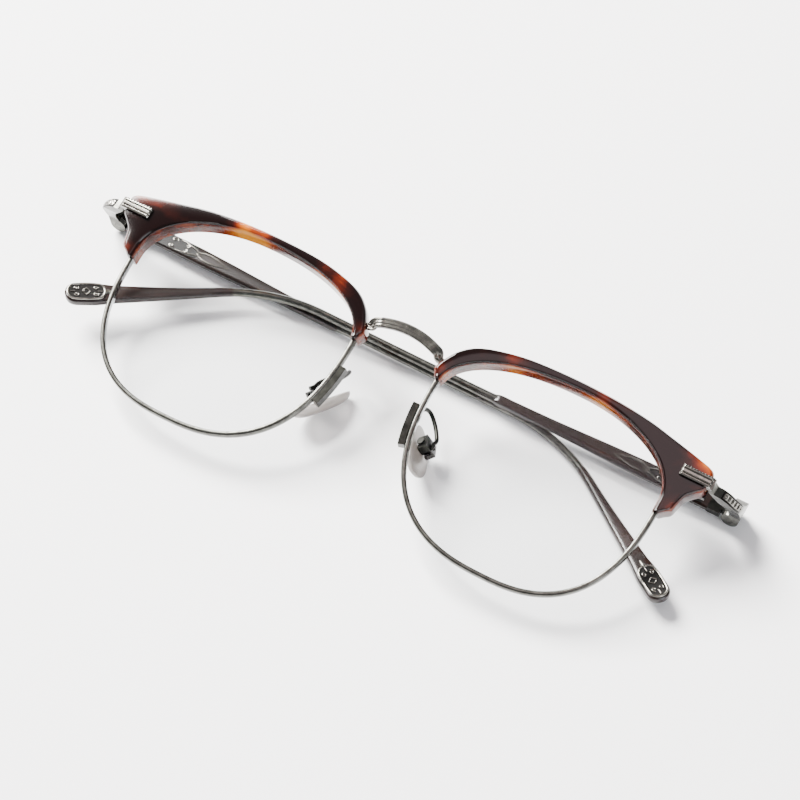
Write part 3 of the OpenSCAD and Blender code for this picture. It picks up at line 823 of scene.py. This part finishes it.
# Section of the brow: which edge (0 lens, 1 outer), distance outwards from it, and height.
BROW_SECTION = (
    (0, 0.2, -2.4), (0, 0.0, -2.2), (0, 0.0, -1.0), (0, 0.0, 0.3), (0, 0.0, 1.3), (0, 0.06, 1.5),
    (0, 0.5, 2.02), (0, 0.62, 2.08), (0, 0.8, 2.1), (0.5, 0.0, 2.12), (1, -0.8, 2.1), (1, -0.62, 2.08),
    (1, -0.5, 2.02), (1, -0.06, 1.5), (1, 0.0, 1.3), (1, 0.0, 0.3), (1, 0.0, -1.0), (1, 0.0, -2.1),
    (1, -0.06, -2.28), (1, -0.3, -2.4), (0.5, 0.0, -2.4),
)
# Light patches of the acetate on each side: X from the lens centre, Y, radius and strength.
AMBER = {
    Side.LEFT: (
        (30.0, 17.6, 2.6, 0.42), (26.0, 18.9, 2.2, 0.3), (27.5, 7.5, 2.2, 0.3), (31.0, 12.6, 1.6, 0.28),
        (6.0, 22.0, 3.0, 0.3), (12.0, 21.6, 2.0, 0.2), (-14.0, 20.8, 2.6, 0.3), (-25.5, 12.5, 2.0, 0.2),
    ),
    Side.RIGHT: (
        (29.5, 18.2, 3.2, 0.36), (24.0, 19.6, 3.0, 0.26), (6.5, 21.6, 3.2, 0.5), (2.0, 21.8, 2.2, 0.34),
        (29.0, 9.0, 1.6, 0.22), (27.0, 6.5, 1.6, 0.3), (-17.0, 19.8, 3.0, 0.4), (-12.0, 21.0, 2.0, 0.3),
        (-25.6, 12.0, 1.8, 0.3),
    ),
}


@dataclass(frozen=True)
class Brows:
    """The acetate bars over the tops of the rims."""

    steps: int = 300
    full_width: float = 1.7
    end_steps: float = 5
    end_tuck: float = 0.35
    # lightening of the walls below the face: painted glow, as of light shining through the acetate
    inner_painted_glow: float = 0.34
    outer_painted_glow: float = 0.2
    back_glow: float = 0.45

    def amber_and_painted_glow(self, flat: Array, which: Array, z: Array, side: Side) -> Array:
        """How light the acetate is: bell-shaped patches, and walls lit by a painted glow where light would
        shine through the bar.

        Args:
            flat: X and Y of the bar's points, (n, m, 2).
            which: The edge that each point of the section belongs to, (m,).
            z: Height of each point of the section, (m,).
            side: Which side the bar is on.

        Returns:
            A value at each point, (n, m).
        """
        spots = sum(
            k * np.exp(-((flat[..., 0] - FRONT.lens_x - x) ** 2 + (flat[..., 1] - y) ** 2) / r**2)
            for x, y, r, k in AMBER[side]
        )
        # the patches fade down the outer wall towards its back
        wall = np.where(which > 0.9, np.clip((z + 2.4) / 4.4, self.back_glow, 1), 1.0)[None, :]
        # painted glow: the walls below the front face are lightened, the inner wall more, as if lit through
        # the acetate
        below_face = np.clip((1.95 - z) / 0.4, 0, 1)
        rim = (below_face * np.where(which < 0.5, self.inner_painted_glow, self.outer_painted_glow))[None, :]
        return spots * wall + rim

    def brow(self, side: Side) -> Piece:
        """The bar: a bevelled section carried between the lens edge line and the brow's outer edge.

        Args:
            side: Which rim it lies on.

        Returns:
            The bar, with its "amber" value.
        """
        edge = np.array(BROW_EDGE)
        edge[:, 0] += FRONT.lens_x
        first, last = FRONT.rim(-2.0, 0.8), FRONT.rim(176.0, 0.7)
        line = spline(np.vstack([[*first, -2.0], edge, [*last, 176.0]]), self.steps)
        outer, inner = line[:, :2], FRONT.rim(line[:, 2], -FRONT.brow_in)
        across = unit(outer - inner)
        width = np.linalg.norm(outer - inner, axis=-1)
        which, off, z = np.array(BROW_SECTION).T
        room = np.minimum(width / self.full_width, 1.0)
        flat = inner[:, None] + which[None, :, None] * (outer - inner)[:, None]
        flat = flat + (off[None, :] * room[:, None])[..., None] * across[:, None]
        end = np.minimum(np.arange(self.steps), self.steps - 1 - np.arange(self.steps))
        tuck = self.end_tuck * np.clip(1 - end / self.end_steps, 0, 1) ** 2
        height = z[None, :] - np.sign(z)[None, :] * tuck[:, None]
        points = FRONT.half(np.concatenate([flat, height[..., None]], -1), side)
        sheet = Sheet(points, fields={"amber_and_painted_glow": self.amber_and_painted_glow(flat, which, z, side)})
        name = side.value
        return Piece(f"acetate_{name}", [sheet], Slot.TORTOISE, "front", (f"brow_{name}",), sharp=24.0)

    def pieces(self, side: Side) -> list[Piece]:
        """The bar of one side."""
        return [self.brow(side)]


# ---- bridge ----


@dataclass(frozen=True)
class Bridge:
    """The ribbed band between the lenses."""

    half_w: float = 1.05
    half_t: float = 0.55
    rib: float = 0.2
    arch_r: float = 17.0
    arch_angle: float = 21.0
    below_top: float = 4.8
    behind_brow: float = 0.5

    def path(self) -> Array:
        """Its middle line: a level arch that turns down and back at both ends to the rims.

        Returns:
            Places from one foot to the other, (220, 3).
        """
        nose = FRONT.lens_x - FRONT.lens_w / 2
        top, front = FRONT.top - self.below_top, FRONT.brow_front - self.behind_brow
        a = np.radians(np.linspace(0, self.arch_angle, 7))
        drop = self.arch_r * (1 - np.cos(a))
        arch = np.stack([self.arch_r * np.sin(a), top - drop, np.full(7, front)], -1)
        foot = np.array([
            [nose - 2.3, top - 1.5, front - 0.5], [nose - 1.9, top - 2.2, front - 1.2],
            [nose - 1.0, top - 2.5, 0.1], [nose + 0.2, top - 2.7, 0.0],
        ])
        half = np.vstack([arch, foot])
        return spline(np.vstack([half[:0:-1] * np.array([-1, 1, 1]), half]), 220)

    def pieces(self) -> list[Piece]:
        """The band: a flat section with three cosine ribs, slimmer at its feet.

        Returns:
            The one band.
        """
        path = self.path()
        nose = FRONT.lens_x - FRONT.lens_w / 2
        d = unit(np.gradient(path, axis=0))
        w = unit(np.cross(np.array([0, 0, 1.0]), d * np.array([1, 1, 0.0])))
        f = unit(np.cross(d, w))
        x = np.linspace(-1, 1, 61)
        ribs = self.half_t - self.rib * (0.5 + 0.5 * np.cos(3 * np.pi * (x + 1)))
        across = np.concatenate([x, [1.0, 0.8, -0.8, -1.0]])
        out = np.concatenate([ribs, [-0.3, -self.half_t, -self.half_t, -0.3]])
        slim = eased(np.abs(path[:, 0]), [(0, 1), (nose - 2.6, 1), (nose - 1.0, 0.62), (nose + 2, 0.55)])
        points = path[:, None] + self.half_w * slim[:, None, None] * across[None, :, None] * w[:, None]
        points = points + out[None, :, None] * f[:, None]
        # the band wears the brighter silver finish instead of titanium: a painted highlight along its ribs
        band, highlight_look = Sheet(FRONT.whole(points)), Slot.SILVER.value
        return [Piece("ribbed_bridge", [band], Slot.TITANIUM, "front", ("bridge",), sharp=60.0, finish=highlight_look)]


# ---- endpieces ----

# The arm's outer line from the plate down to the hinge: X from the hinge axis and height above it.
ARM_OUTER = (
    (-2.9, 11.35), (-1.8, 10.8), (-0.4, 10.0), (0.8, 8.75), (1.8, 7.3), (2.12, 6.2), (2.28, 4.8), (2.2, 2.5),
)
# Where the arm's lower and upper edges lie across it, at heights above the hinge axis.
ARM_LOW = ((2.0, -1.9), (5.2, -3.0), (8.2, -4.2), (10.9, -4.7))
ARM_HIGH = ((2.7, 1.9), (3.5, 1.4), (4.5, 0.0), (6.2, -1.2), (8.7, -2.1), (10.9, -2.45))


@dataclass(frozen=True)
class Endpieces:
    """The decorative plate on each brow and the ornament on the arm behind it."""

    plate_length: float = 6.6
    plate_half: float = 1.15
    plate_tall: float = 0.6
    plate_gap: float = 0.22
    plate_bevel: float = 0.35
    groove: float = 0.2
    groove_half: float = 0.1
    mill_pitch: float = 0.62
    mill_deep: float = 0.1
    bar_pitch: float = 0.95
    bar_tall: float = 0.2
    band_low: float = 6.4
    band_high: float = 10.75

    def plate(self, side: Side) -> Piece:
        """The plate: a crowned top with two bell-shaped grooves, cosine milled edges and bevelled ends.

        Args:
            side: Which brow it is on.

        Returns:
            The plate.
        """
        x = np.linspace(0, self.plate_length, 180)
        end = np.minimum(np.minimum(x, self.plate_length - x) / self.plate_bevel, 1.0)
        y = np.linspace(-1, 1, 49)
        high, low = (np.exp(-(((y - at) / self.groove_half) ** 2)) for at in (0.38, -0.42))
        crown = self.plate_tall - 0.12 * np.abs(y) ** 3 - self.groove * (high + low)
        milled = self.mill_deep * (0.5 + 0.5 * np.cos(2 * np.pi * x / self.mill_pitch))
        across = np.broadcast_to(y * self.plate_half, (180, 49))
        up = across - np.clip(y - 0.7, 0, 1)[None, :] * milled[:, None] * 2
        notch = np.clip(y - 0.66, 0, 1)[None, :] * milled[:, None] * 3
        z = crown[None, :] * (0.55 + 0.45 * end[:, None]) - notch
        top = np.stack([np.broadcast_to(x[:, None], up.shape), up, z], -1)
        sides = np.broadcast_to([self.plate_half, -self.plate_half], (180, 2))
        base = np.stack([np.broadcast_to(x[:, None], (180, 2)), sides, np.zeros((180, 2))], -1)
        corner = [FRONT.lens_x + FRONT.lens_w / 2 + 0.8, FRONT.top - 5.9, FRONT.brow_front + self.plate_gap]
        points = np.concatenate([top, base], 1) + np.array(corner)
        node = f"front_plate_{side.value}"
        return Piece(f"milled_{node}", [Sheet(FRONT.half(points, side))], Slot.SILVER, "front", (node,))

    def strip(self, line: Array, inset: float, relief: Array, side: Side) -> Sheet:
        """A strip along the outside of the arm: its outer line raised by a relief.

        Args:
            line: The part of the outer line that it covers, (n, 2).
            inset: Its distance from the arm's edges.
            relief: Its height along and across, (n, m).
            side: Which side it is on.

        Returns:
            The strip, closed under the arm's face.
        """
        d = unit(np.gradient(line, axis=0))
        out = np.stack([-d[:, 1], d[:, 0]], -1)
        low = np.interp(line[:, 1], *np.array(ARM_LOW).T) + inset
        high = np.interp(line[:, 1], *np.array(ARM_HIGH).T) - inset
        share = np.linspace(0, 1, relief.shape[1])
        y = low[:, None] + (high - low)[:, None] * share
        place = line[:, None] + out[:, None] * relief[..., None]
        under = np.broadcast_to((line - 0.3 * out)[:, None], (len(line), 2, 2))
        top = np.stack([place[..., 0], y, place[..., 1]], -1)
        base = np.stack([under[..., 0], y[:, [-1, 0]], under[..., 1]], -1)
        return Sheet(side.place(np.concatenate([top, base], 1) + np.array(TEMPLE.hinge)))

    def ornament(self, side: Side) -> list[Piece]:
        """A dark panel with a silver band of cosine bars along the outside of the arm.

        Args:
            side: Which side it is on.

        Returns:
            The panel and the band.
        """
        line = spline(ARM_OUTER, 220)
        band = line[(line[:, 1] > self.band_low) & (line[:, 1] < self.band_high)]
        run = np.cumsum(np.r_[0, np.linalg.norm(np.diff(band, axis=0), axis=1)])
        across = np.linspace(0, 1, 31)
        bars = 0.5 + 0.5 * np.cos(2 * np.pi * run / self.bar_pitch)
        edge = np.clip(9 * np.minimum(across, 1 - across), 0, 1)
        waist = (0.5 + 0.5 * np.abs(np.cos(2 * np.pi * across)))[None, :]
        relief = 0.03 + self.bar_tall * bars[:, None] ** 0.6 * waist
        inside = slice(8, -8)
        panel = self.strip(band, 0.14, np.full((len(band), 7), 0.02), side)
        raised = self.strip(band[inside], 0.42, (relief * edge)[inside], side)
        name = side.value
        return [
            Piece(f"arm_panel_{name}", [panel], Slot.DARK_TITANIUM, "front", finish="recess"),
            Piece(f"arm_relief_{name}", [raised], Slot.SILVER, "front", sharp=50.0),
        ]

    def pieces(self, side: Side) -> list[Piece]:
        """The plate and the ornament of one side."""
        return [self.plate(side), *self.ornament(side)]


# ---- nose pads ----


@dataclass(frozen=True)
class NosePads:
    """The almond pads and the wires that hold them."""

    wire: float = 0.45
    back_depth: float = 0.35
    base_gap: float = 0.03
    base_thick: float = 1.35
    box_reach: float = 3.02

    def pad(self, side: Side) -> Piece:
        """The pad: a squashed ball, flatter behind and crowned in front, narrower at its top.

        Args:
            side: Which side of the nose it is on.

        Returns:
            The pad, in the body that rocks.
        """
        phi = np.linspace(0.03, np.pi - 0.04, 28)[:, None]
        a = 2 * np.pi * np.arange(56)[None, :] / 56
        spread = np.sin(phi) ** 0.55
        back = self.back_depth * (1 - np.cos(phi))
        face = self.back_depth + (PAD.thickness - self.back_depth) * -np.cos(phi)
        depth = np.where(phi < np.pi / 2, back, face)
        y = PAD.length / 2 * np.sin(a) * spread
        z = PAD.width / 2 * np.cos(a) * spread * (1 - 0.16 * np.sin(a))
        points = PAD.level(np.stack([np.broadcast_to(-depth, y.shape), y, z], -1))
        node = f"nose_pad_{side.value}"
        soft = Sheet(FRONT.level(side.place(points)))
        return Piece(f"soft_{node}", [soft], Slot.PAD, f"{side.value}_pad", (node,), sharp=60.0)

    def arm(self, side: Side) -> Piece:
        """The wire: a smooth curve from the plate on the rim, round its loop and into the pad's box.

        Args:
            side: Which side of the nose it is on.

        Returns:
            The wire.
        """
        root = FRONT.rim(188.0, FRONT.rim_out + self.base_gap + self.base_thick / 2)
        tip = turn("x", FRONT.tilt) @ turn("y", FRONT.face_form)
        start, low = (tip @ np.array([*root, z]) for z in (-0.4, -1.95))
        end = PAD.level(np.array([self.box_reach, 0.0, 0.0]))
        knots = [
            start, (start + low) / 2, low, low + [0.1, 2.0, -1.6], low + [0.5, 3.7, -3.2],
            low + [1.4, 4.1, -4.8], low + 0.55 * (end - low) + [0.5, 3.2, -2.6], end + [-0.2, 1.6, -0.5],
            end, PAD.level(np.array([self.box_reach, -1.2, 0.0])),
        ]
        path = FRONT.level(side.place(spline(knots, 120)))
        node = f"pad_arm_{side.value}"
        bent = tube(path, self.wire, 14, (1.0, 0.2, 0.0))
        return Piece(f"looped_{node}", [bent], Slot.DARK_TITANIUM, "front", (node,), sharp=60.0)

    def pieces(self, side: Side) -> list[Piece]:
        """The pad and wire of one side."""
        return [self.pad(side), self.arm(side)]


# ---- temples ----

# Height and width across the temple's face, and thickness, at distances from the hinge axis.
HEIGHTS = (
    (5, 3.8), (18, 3.8), (26, 3.5), (34, 2.95), (42, 2.45), (50, 2.1), (54, 1.85), (57, 1.7), (112, 1.7),
)
WIDTHS = (
    (112, 1.85), (118, 2.1), (126, 2.7), (132, 3.3), (136, 3.7), (138.2, 4.3), (140.4, 4.75), (143.2, 4.75),
)
THICKS = ((112, 1.85), (126, 1.95), (137, 2.0), (145, 2.0), (146, 1.9))


def scroll(s: float, up: float, size: float, start: float, turns: float, hand: float) -> Array:
    """A spiral in the plane of a temple's face: its radius falls evenly as it winds.

    Args:
        s: Its eye's place along the temple.
        up: Its eye's place across.
        size: Its outer radius.
        start: The outer end's angle in degrees.
        turns: How often it winds.
        hand: 1 or -1, the way it winds.

    Returns:
        Pairs of place along and across, (40, 2).
    """
    f = np.linspace(0, 1, 40)
    a = np.radians(start) + hand * 2 * np.pi * turns * f
    r = size * (1 - 0.8 * f)
    return np.stack([s + r * np.cos(a), up + r * np.sin(a)], -1)


@dataclass(frozen=True)
class Temples:
    """The temples: brown broad part, metal middle, brown tip, and their ornament."""

    coat_start: float = 5.02
    coat_end: float = 53.0
    rod_overlap: float = 2.5
    scroll_wire: float = 0.21
    scroll_level: float = 0.68
    emblem_mid: float = 141.6
    emblem_half_l: float = 3.75
    emblem_half_w: float = 1.85
    emblem_border: float = 0.26
    emblem_wire: float = 0.15
    face: float = 1.0

    def coat(self, side: Side) -> Piece:
        """The broad part: a rounded rectangle that follows the temple's height to a rounded end.

        Args:
            side: Which temple.

        Returns:
            The broad part.
        """
        s = np.linspace(self.coat_start, self.coat_end, 150)
        end = np.clip((self.coat_end - s) / 1.2, 0, 1) ** 0.5
        across, out = rounded(32, 4.2)
        tall = eased(s, HEIGHTS) * (0.82 + 0.18 * end) + 0.12 * (s > 50)
        thick = np.interp(s, [5, 40, self.coat_end], [1.3, 1.3, 1.95]) * (0.3 + 0.7 * end)
        points = TEMPLE.at(s[:, None], tall[:, None] / 2 * across[None], thick[:, None] / 2 * out[None])
        sheet = Sheet(TEMPLE.place(points, side))
        name, body = side.value, f"{side.value}_temple"
        return Piece(f"broad_temple_{name}", [sheet], Slot.COATING, body, (f"temple_{name}",))

    def rod(self, side: Side) -> Piece:
        """The round metal middle, from inside the broad part to inside the sleeve.

        Args:
            side: Which temple.

        Returns:
            The rod.
        """
        s = np.linspace(self.coat_end - self.rod_overlap, TEMPLE.tip_start + 3, 160)
        across, out = rounded(20, 2.0)
        tall = np.interp(s, [50, 55, 58], [1.95, 1.8, TEMPLE.rod])
        points = TEMPLE.at(s[:, None], tall[:, None] / 2 * across[None], TEMPLE.rod / 2 * out[None])
        rod = Sheet(TEMPLE.place(points, side))
        return Piece(f"temple_rod_{side.value}", [rod], Slot.TITANIUM, f"{side.value}_temple")

    def sleeve(self, side: Side) -> Piece:
        """The sleeve: an ellipse at its mouth that squares off into a flat paddle with a round end.

        Args:
            side: Which temple.

        Returns:
            The sleeve.
        """
        round_end = 146 - 3.0 * np.cos(np.linspace(0.1, np.pi / 2, 24))
        s = np.concatenate([np.linspace(112.02, 143.0, 120), round_end])
        wide = eased(s, WIDTHS) * np.sqrt(np.clip(1 - (np.clip(s - 143.2, 0, 3) / 2.82) ** 2.6, 0.02, 1))
        thick = eased(s, THICKS) * np.clip(1 - 0.4 * np.clip((s - 145.2) / 0.8, 0, 1) ** 2, 0.5, 1)
        square = np.interp(s, [112, 122, 136], [2.0, 2.6, 4.5])[:, None]
        across, out = rounded(36, square)
        points = TEMPLE.at(s[:, None], wide[:, None] / 2 * across, thick[:, None] / 2 * out)
        node = f"tip_sleeve_{side.value}"
        sheet = Sheet(TEMPLE.place(points, side))
        return Piece(f"brown_{node}", [sheet], Slot.TIP, f"{side.value}_temple", (node,))

    def engraving(self, side: Side) -> list[Piece]:
        """A dark oval panel near the hinge with a raised silver leaf, tails and scrolls on it.

        Args:
            side: Which temple.

        Returns:
            The raised lines and the panel.
        """
        f = np.linspace(0, 1, 50)
        swell = 1.05 * np.sin(np.pi * f**0.75)
        leaf = [np.stack([18.4 + 7.8 * f, k * swell * (1 - 0.35 * f)], -1) for k in (-1, 1)]
        tails = [np.stack([13.8 + 6.0 * f, k * (1.4 - 1.4 * f**1.6)], -1) for k in (-1, 1)]
        curls = [scroll(12.6, 0.8 * k, 0.62, 0, 1.2, k) for k in (-1, 1)]
        curls += [scroll(16.0, 0.55 * k, 0.45, 180, 1.1, -k) for k in (-1, 1)]
        curls += [scroll(9.4, 0.75 * k, 0.65, 180, 1.3, -k) for k in (-1, 1)]
        curls += [scroll(7.3, 0.0, 0.6, 90, 1.0, 1)]
        lines = []
        for line in leaf + tails + curls:
            place = TEMPLE.at(line[:, 0], line[:, 1], np.full(len(line), self.scroll_level))
            swelling = self.scroll_wire * np.sin(np.pi * np.linspace(0.15, 0.85, len(line)))
            lines.append(tube(TEMPLE.place(place, side), swelling, 8))
        s = np.linspace(6.4, 18.6, 60)
        across, out = rounded(20, 4)
        tall = 1.6 * np.sqrt(np.clip(1 - ((s - 12.0) / 7.2) ** 6, 0.02, 1))
        ground = TEMPLE.at(s[:, None], tall[:, None] * across[None], 0.6 + 0.07 * out[None])
        panel = Sheet(TEMPLE.place(ground, side))
        body = f"{side.value}_temple"
        return [
            Piece(f"temple_scrolls_{side.value}", lines, Slot.SILVER, body, sharp=60.0),
            Piece(f"temple_panel_{side.value}", [panel], Slot.COATING, body, finish="recess"),
        ]

    def oval(self) -> tuple[Array, Array]:
        """The emblem's outline, a long oval, and its outward directions.

        Returns:
            Places from its middle and directions, each (96, 2).
        """
        a = np.linspace(0, 2 * np.pi, 97)[:-1]
        straight = np.sign(np.cos(a)) * np.minimum(1, np.abs(np.cos(a)) * 2.2)
        along = (self.emblem_half_l - self.emblem_half_w) * straight + self.emblem_half_w * np.cos(a)
        normal = unit(np.stack([np.cos(a), np.sin(a)], -1))
        return np.stack([along, self.emblem_half_w * np.sin(a)], -1), normal

    def emblem_lines(self, side: Side) -> list[Sheet]:
        """The emblem's raised scrolls, lozenge and dashes, and the tapered neck before it.

        Args:
            side: Which temple.

        Returns:
            The wires.
        """
        mid, face = self.emblem_mid, self.face
        f = np.linspace(0, 1, 24)
        corners = [(i, j) for i in (-1, 1) for j in (-1, 1)]
        shapes = [scroll(mid + 1.9 * i, 0.72 * j, 0.52, 90 * (1 - i), 1.05, i * j) for i, j in corners]
        fold = 2 * f - 1
        shapes += [np.stack([mid + 0.75 * fold, k * 0.85 * (1 - np.abs(fold))], -1) for k in (-1, 1)]
        shapes += [np.stack([mid + k * (2.35 + 0.9 * f), 0 * f], -1) for k in (-1, 1)]
        places = [TEMPLE.at(p[:, 0], p[:, 1], np.full(len(p), face + 0.16)) for p in shapes]
        lines = [tube(TEMPLE.place(p, side), self.emblem_wire, 8) for p in places]
        neck = np.stack([mid - self.emblem_half_l - 0.1 - 1.3 * f, 0 * f], -1)
        place = TEMPLE.at(neck[:, 0], neck[:, 1], np.full(24, face - 0.05))
        return [*lines, tube(TEMPLE.place(place, side), 0.55 - 0.3 * f, 12)]

    def emblem(self, side: Side) -> list[Piece]:
        """The oval inlay on the paddle: silver border and raised lines over a dark ground.

        Args:
            side: Which temple.

        Returns:
            The silver parts and the ground.
        """
        mid, face = self.emblem_mid, self.face
        centre, normal = self.oval()
        a = 2 * np.pi * np.arange(10) / 10
        ring = centre[:, None] + self.emblem_border * np.cos(a)[None, :, None] * normal[:, None]
        height = np.broadcast_to(face + 0.12 + 0.2 * np.sin(a), ring.shape[:2])
        border = Sheet(TEMPLE.place(TEMPLE.at(mid + ring[..., 0], ring[..., 1], height), side), joined=True)
        ground = centre[None] * np.array([1.0, 1.0, 0.05])[:, None, None]
        level = np.array([face - 0.1, face + 0.1, face + 0.1])[:, None]
        base = Sheet(TEMPLE.place(TEMPLE.at(mid + ground[..., 0], ground[..., 1], level), side))
        raised = [border, *self.emblem_lines(side)]
        name, body = side.value, f"{side.value}_temple"
        return [
            Piece(f"emblem_relief_{name}", raised, Slot.SILVER, body, (f"tip_emblem_{name}",), sharp=60.0),
            Piece(f"emblem_ground_{name}", [base], Slot.TIP, body, finish="recess"),
        ]

    def pieces(self, side: Side) -> list[Piece]:
        """Every piece of one temple."""
        plain = [self.coat(side), self.rod(side), self.sleeve(side)]
        return plain + self.engraving(side) + self.emblem(side)


# ---- the whole ----


class Glasses:
    """Every piece of the eyeglasses."""

    def __init__(self, frame: dict[str, Any], finishes: Finishes) -> None:
        """Keeps what the pieces need.

        Args:
            finishes: The materials.
        """
        self.frame = frame
        self.finishes = finishes

    def pieces(self) -> list[Piece]:
        """All new pieces: the bridge, then each side's parts from the rim to the temple.

        Returns:
            The pieces, not built yet.
        """
        made = Bridge().pieces()
        for side in Side:
            for part in (Rims(), Brows(), Endpieces(), NosePads(), Temples()):
                made += part.pieces(side)
        return made

    def build(self) -> None:
        """Builds the new pieces, then finishes the CAD nodes that stay."""
        made = self.pieces()
        for piece in made:
            piece.build(self.finishes)
        hidden = {node for piece in made for node in piece.stands_for}
        slots = {s["node"]: s["material_slot"] for s in self.frame["record"]["subparts"]}
        for node, obj in self.frame["nodes"].items():
            if node not in hidden:
                self.dress(obj, slots[node])

    def dress(self, obj: bpy.types.Object, slot: str) -> None:
        """Gives a CAD node its material and softened edges.

        Args:
            obj: The node.
            slot: Its record slot.
        """
        obj.data.materials.clear()
        obj.data.materials.append(self.finishes.get(slot))
        soft = obj.modifiers.new("soft edges", "BEVEL")
        soft.width, soft.segments, soft.limit_method = 0.12 * MM, 2, "ANGLE"
        soft.angle_limit = math.radians(40)
        obj.data.polygons.foreach_set("use_smooth", np.ones(len(obj.data.polygons), bool))
        obj.data.set_sharp_from_angle(angle=math.radians(35))
        LOG.info("%s keeps its CAD mesh, finish %s", obj.name, slot)


@dataclass(frozen=True)
class Studio:
    """Floor, light and camera, with lengths in metres."""

    centre: tuple[float, float, float] = (0.0, 0.0, 0.008)
    floor_half: float = 3.0
    room_light: float = 0.38
    focal_mm: float = 123.56
    camera_place: tuple[float, float, float] = (0.15273, -0.25138, 0.4607)
    camera_azimuth: float = 30.22
    camera_elevation: float = 56.79

    def floor(self) -> None:
        """Plain pale floor."""
        mesh = bpy.data.meshes.new("floor")
        h = self.floor_half
        mesh.from_pydata([(-h, -h, 0), (h, -h, 0), (h, h, 0), (-h, h, 0)], [], [(0, 1, 2, 3)])
        obj = bpy.data.objects.new("floor", mesh)
        bpy.context.scene.collection.objects.link(obj)
        t = Tree("floor")
        paper = t.add("BsdfPrincipled", {"Base Color": linear("#f0f0f1"), "Roughness": 0.85})
        mesh.materials.append(t.finish(paper))
        obj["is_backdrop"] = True

    def panel(
        self, name: str, place: Sequence[float], size: Sequence[float], power: float, tint: str
    ) -> None:
        """One soft light panel aimed at the glasses.

        Args:
            name: The light's name.
            place: Where it is, in metres.
            size: Its two sides, in metres.
            power: Watts.
            tint: Its colour.
        """
        data = bpy.data.lights.new(name, "AREA")
        data.shape, data.size, data.size_y = "RECTANGLE", size[0], size[1]
        data.energy, data.color = power, linear(tint)[:3]
        obj = bpy.data.objects.new(name, data)
        obj.location = place
        aim = Vector(self.centre) - Vector(place)
        obj.rotation_euler = aim.to_track_quat("-Z", "Y").to_euler()
        bpy.context.scene.collection.objects.link(obj)

    def light(self) -> None:
        """A strong soft key from the wearer's upper right, a dim panel overhead, a fill and an even room."""
        self.panel("key", (-0.89, 0.39, 0.86), (0.65, 0.65), 150.0, "#fffdfa")
        self.panel("overhead", (0.02, 0.06, 1.2), (0.6, 0.5), 2.6, "#ffe9ec")
        self.panel("fill", (0.9, -0.35, 0.8), (0.6, 0.5), 8.0, "#f6f9ff")
        world = bpy.data.worlds.new("room")
        bpy.context.scene.world = world
        world.use_nodes = True
        back = world.node_tree.nodes["Background"]
        back.inputs[0].default_value = linear("#f4f5f8")
        back.inputs[1].default_value = self.room_light

    def camera(self) -> None:
        """Long lens, above and to the front of the wearer's left side."""
        data = bpy.data.cameras.new("camera")
        data.lens, data.sensor_width, data.clip_end = self.focal_mm, 36.0, 10.0
        obj = bpy.data.objects.new("camera", data)
        azimuth, elevation = math.radians(self.camera_azimuth), math.radians(self.camera_elevation)
        back = Vector((
            math.sin(azimuth) * math.cos(elevation),
            -math.cos(azimuth) * math.cos(elevation),
            math.sin(elevation),
        ))
        obj.location = self.camera_place
        obj.rotation_euler = back.to_track_quat("Z", "Y").to_euler()
        bpy.context.scene.collection.objects.link(obj)
        bpy.context.scene.camera = obj


def measure(label: str, store: dict[str, Any]) -> None:
    """Notes the shown object's size.

    Args:
        label: When it is measured.
        store: Where the two corners go.
    """
    low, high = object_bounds()
    store[label] = [[float(x) for x in low], [float(x) for x in high]]
    LOG.info("%s: %s", label, store[label])


def main() -> None:
    """Builds the scene."""
    logging.basicConfig(level=logging.INFO, format="%(name)s: %(message)s")
    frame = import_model()
    sizes: dict[str, Any] = {}
    measure("cad", sizes)
    Glasses(frame, Finishes()).build()
    studio = Studio()
    studio.floor()
    studio.light()
    studio.camera()
    measure("visual", sizes)


if __name__ == "__main__":
    main()
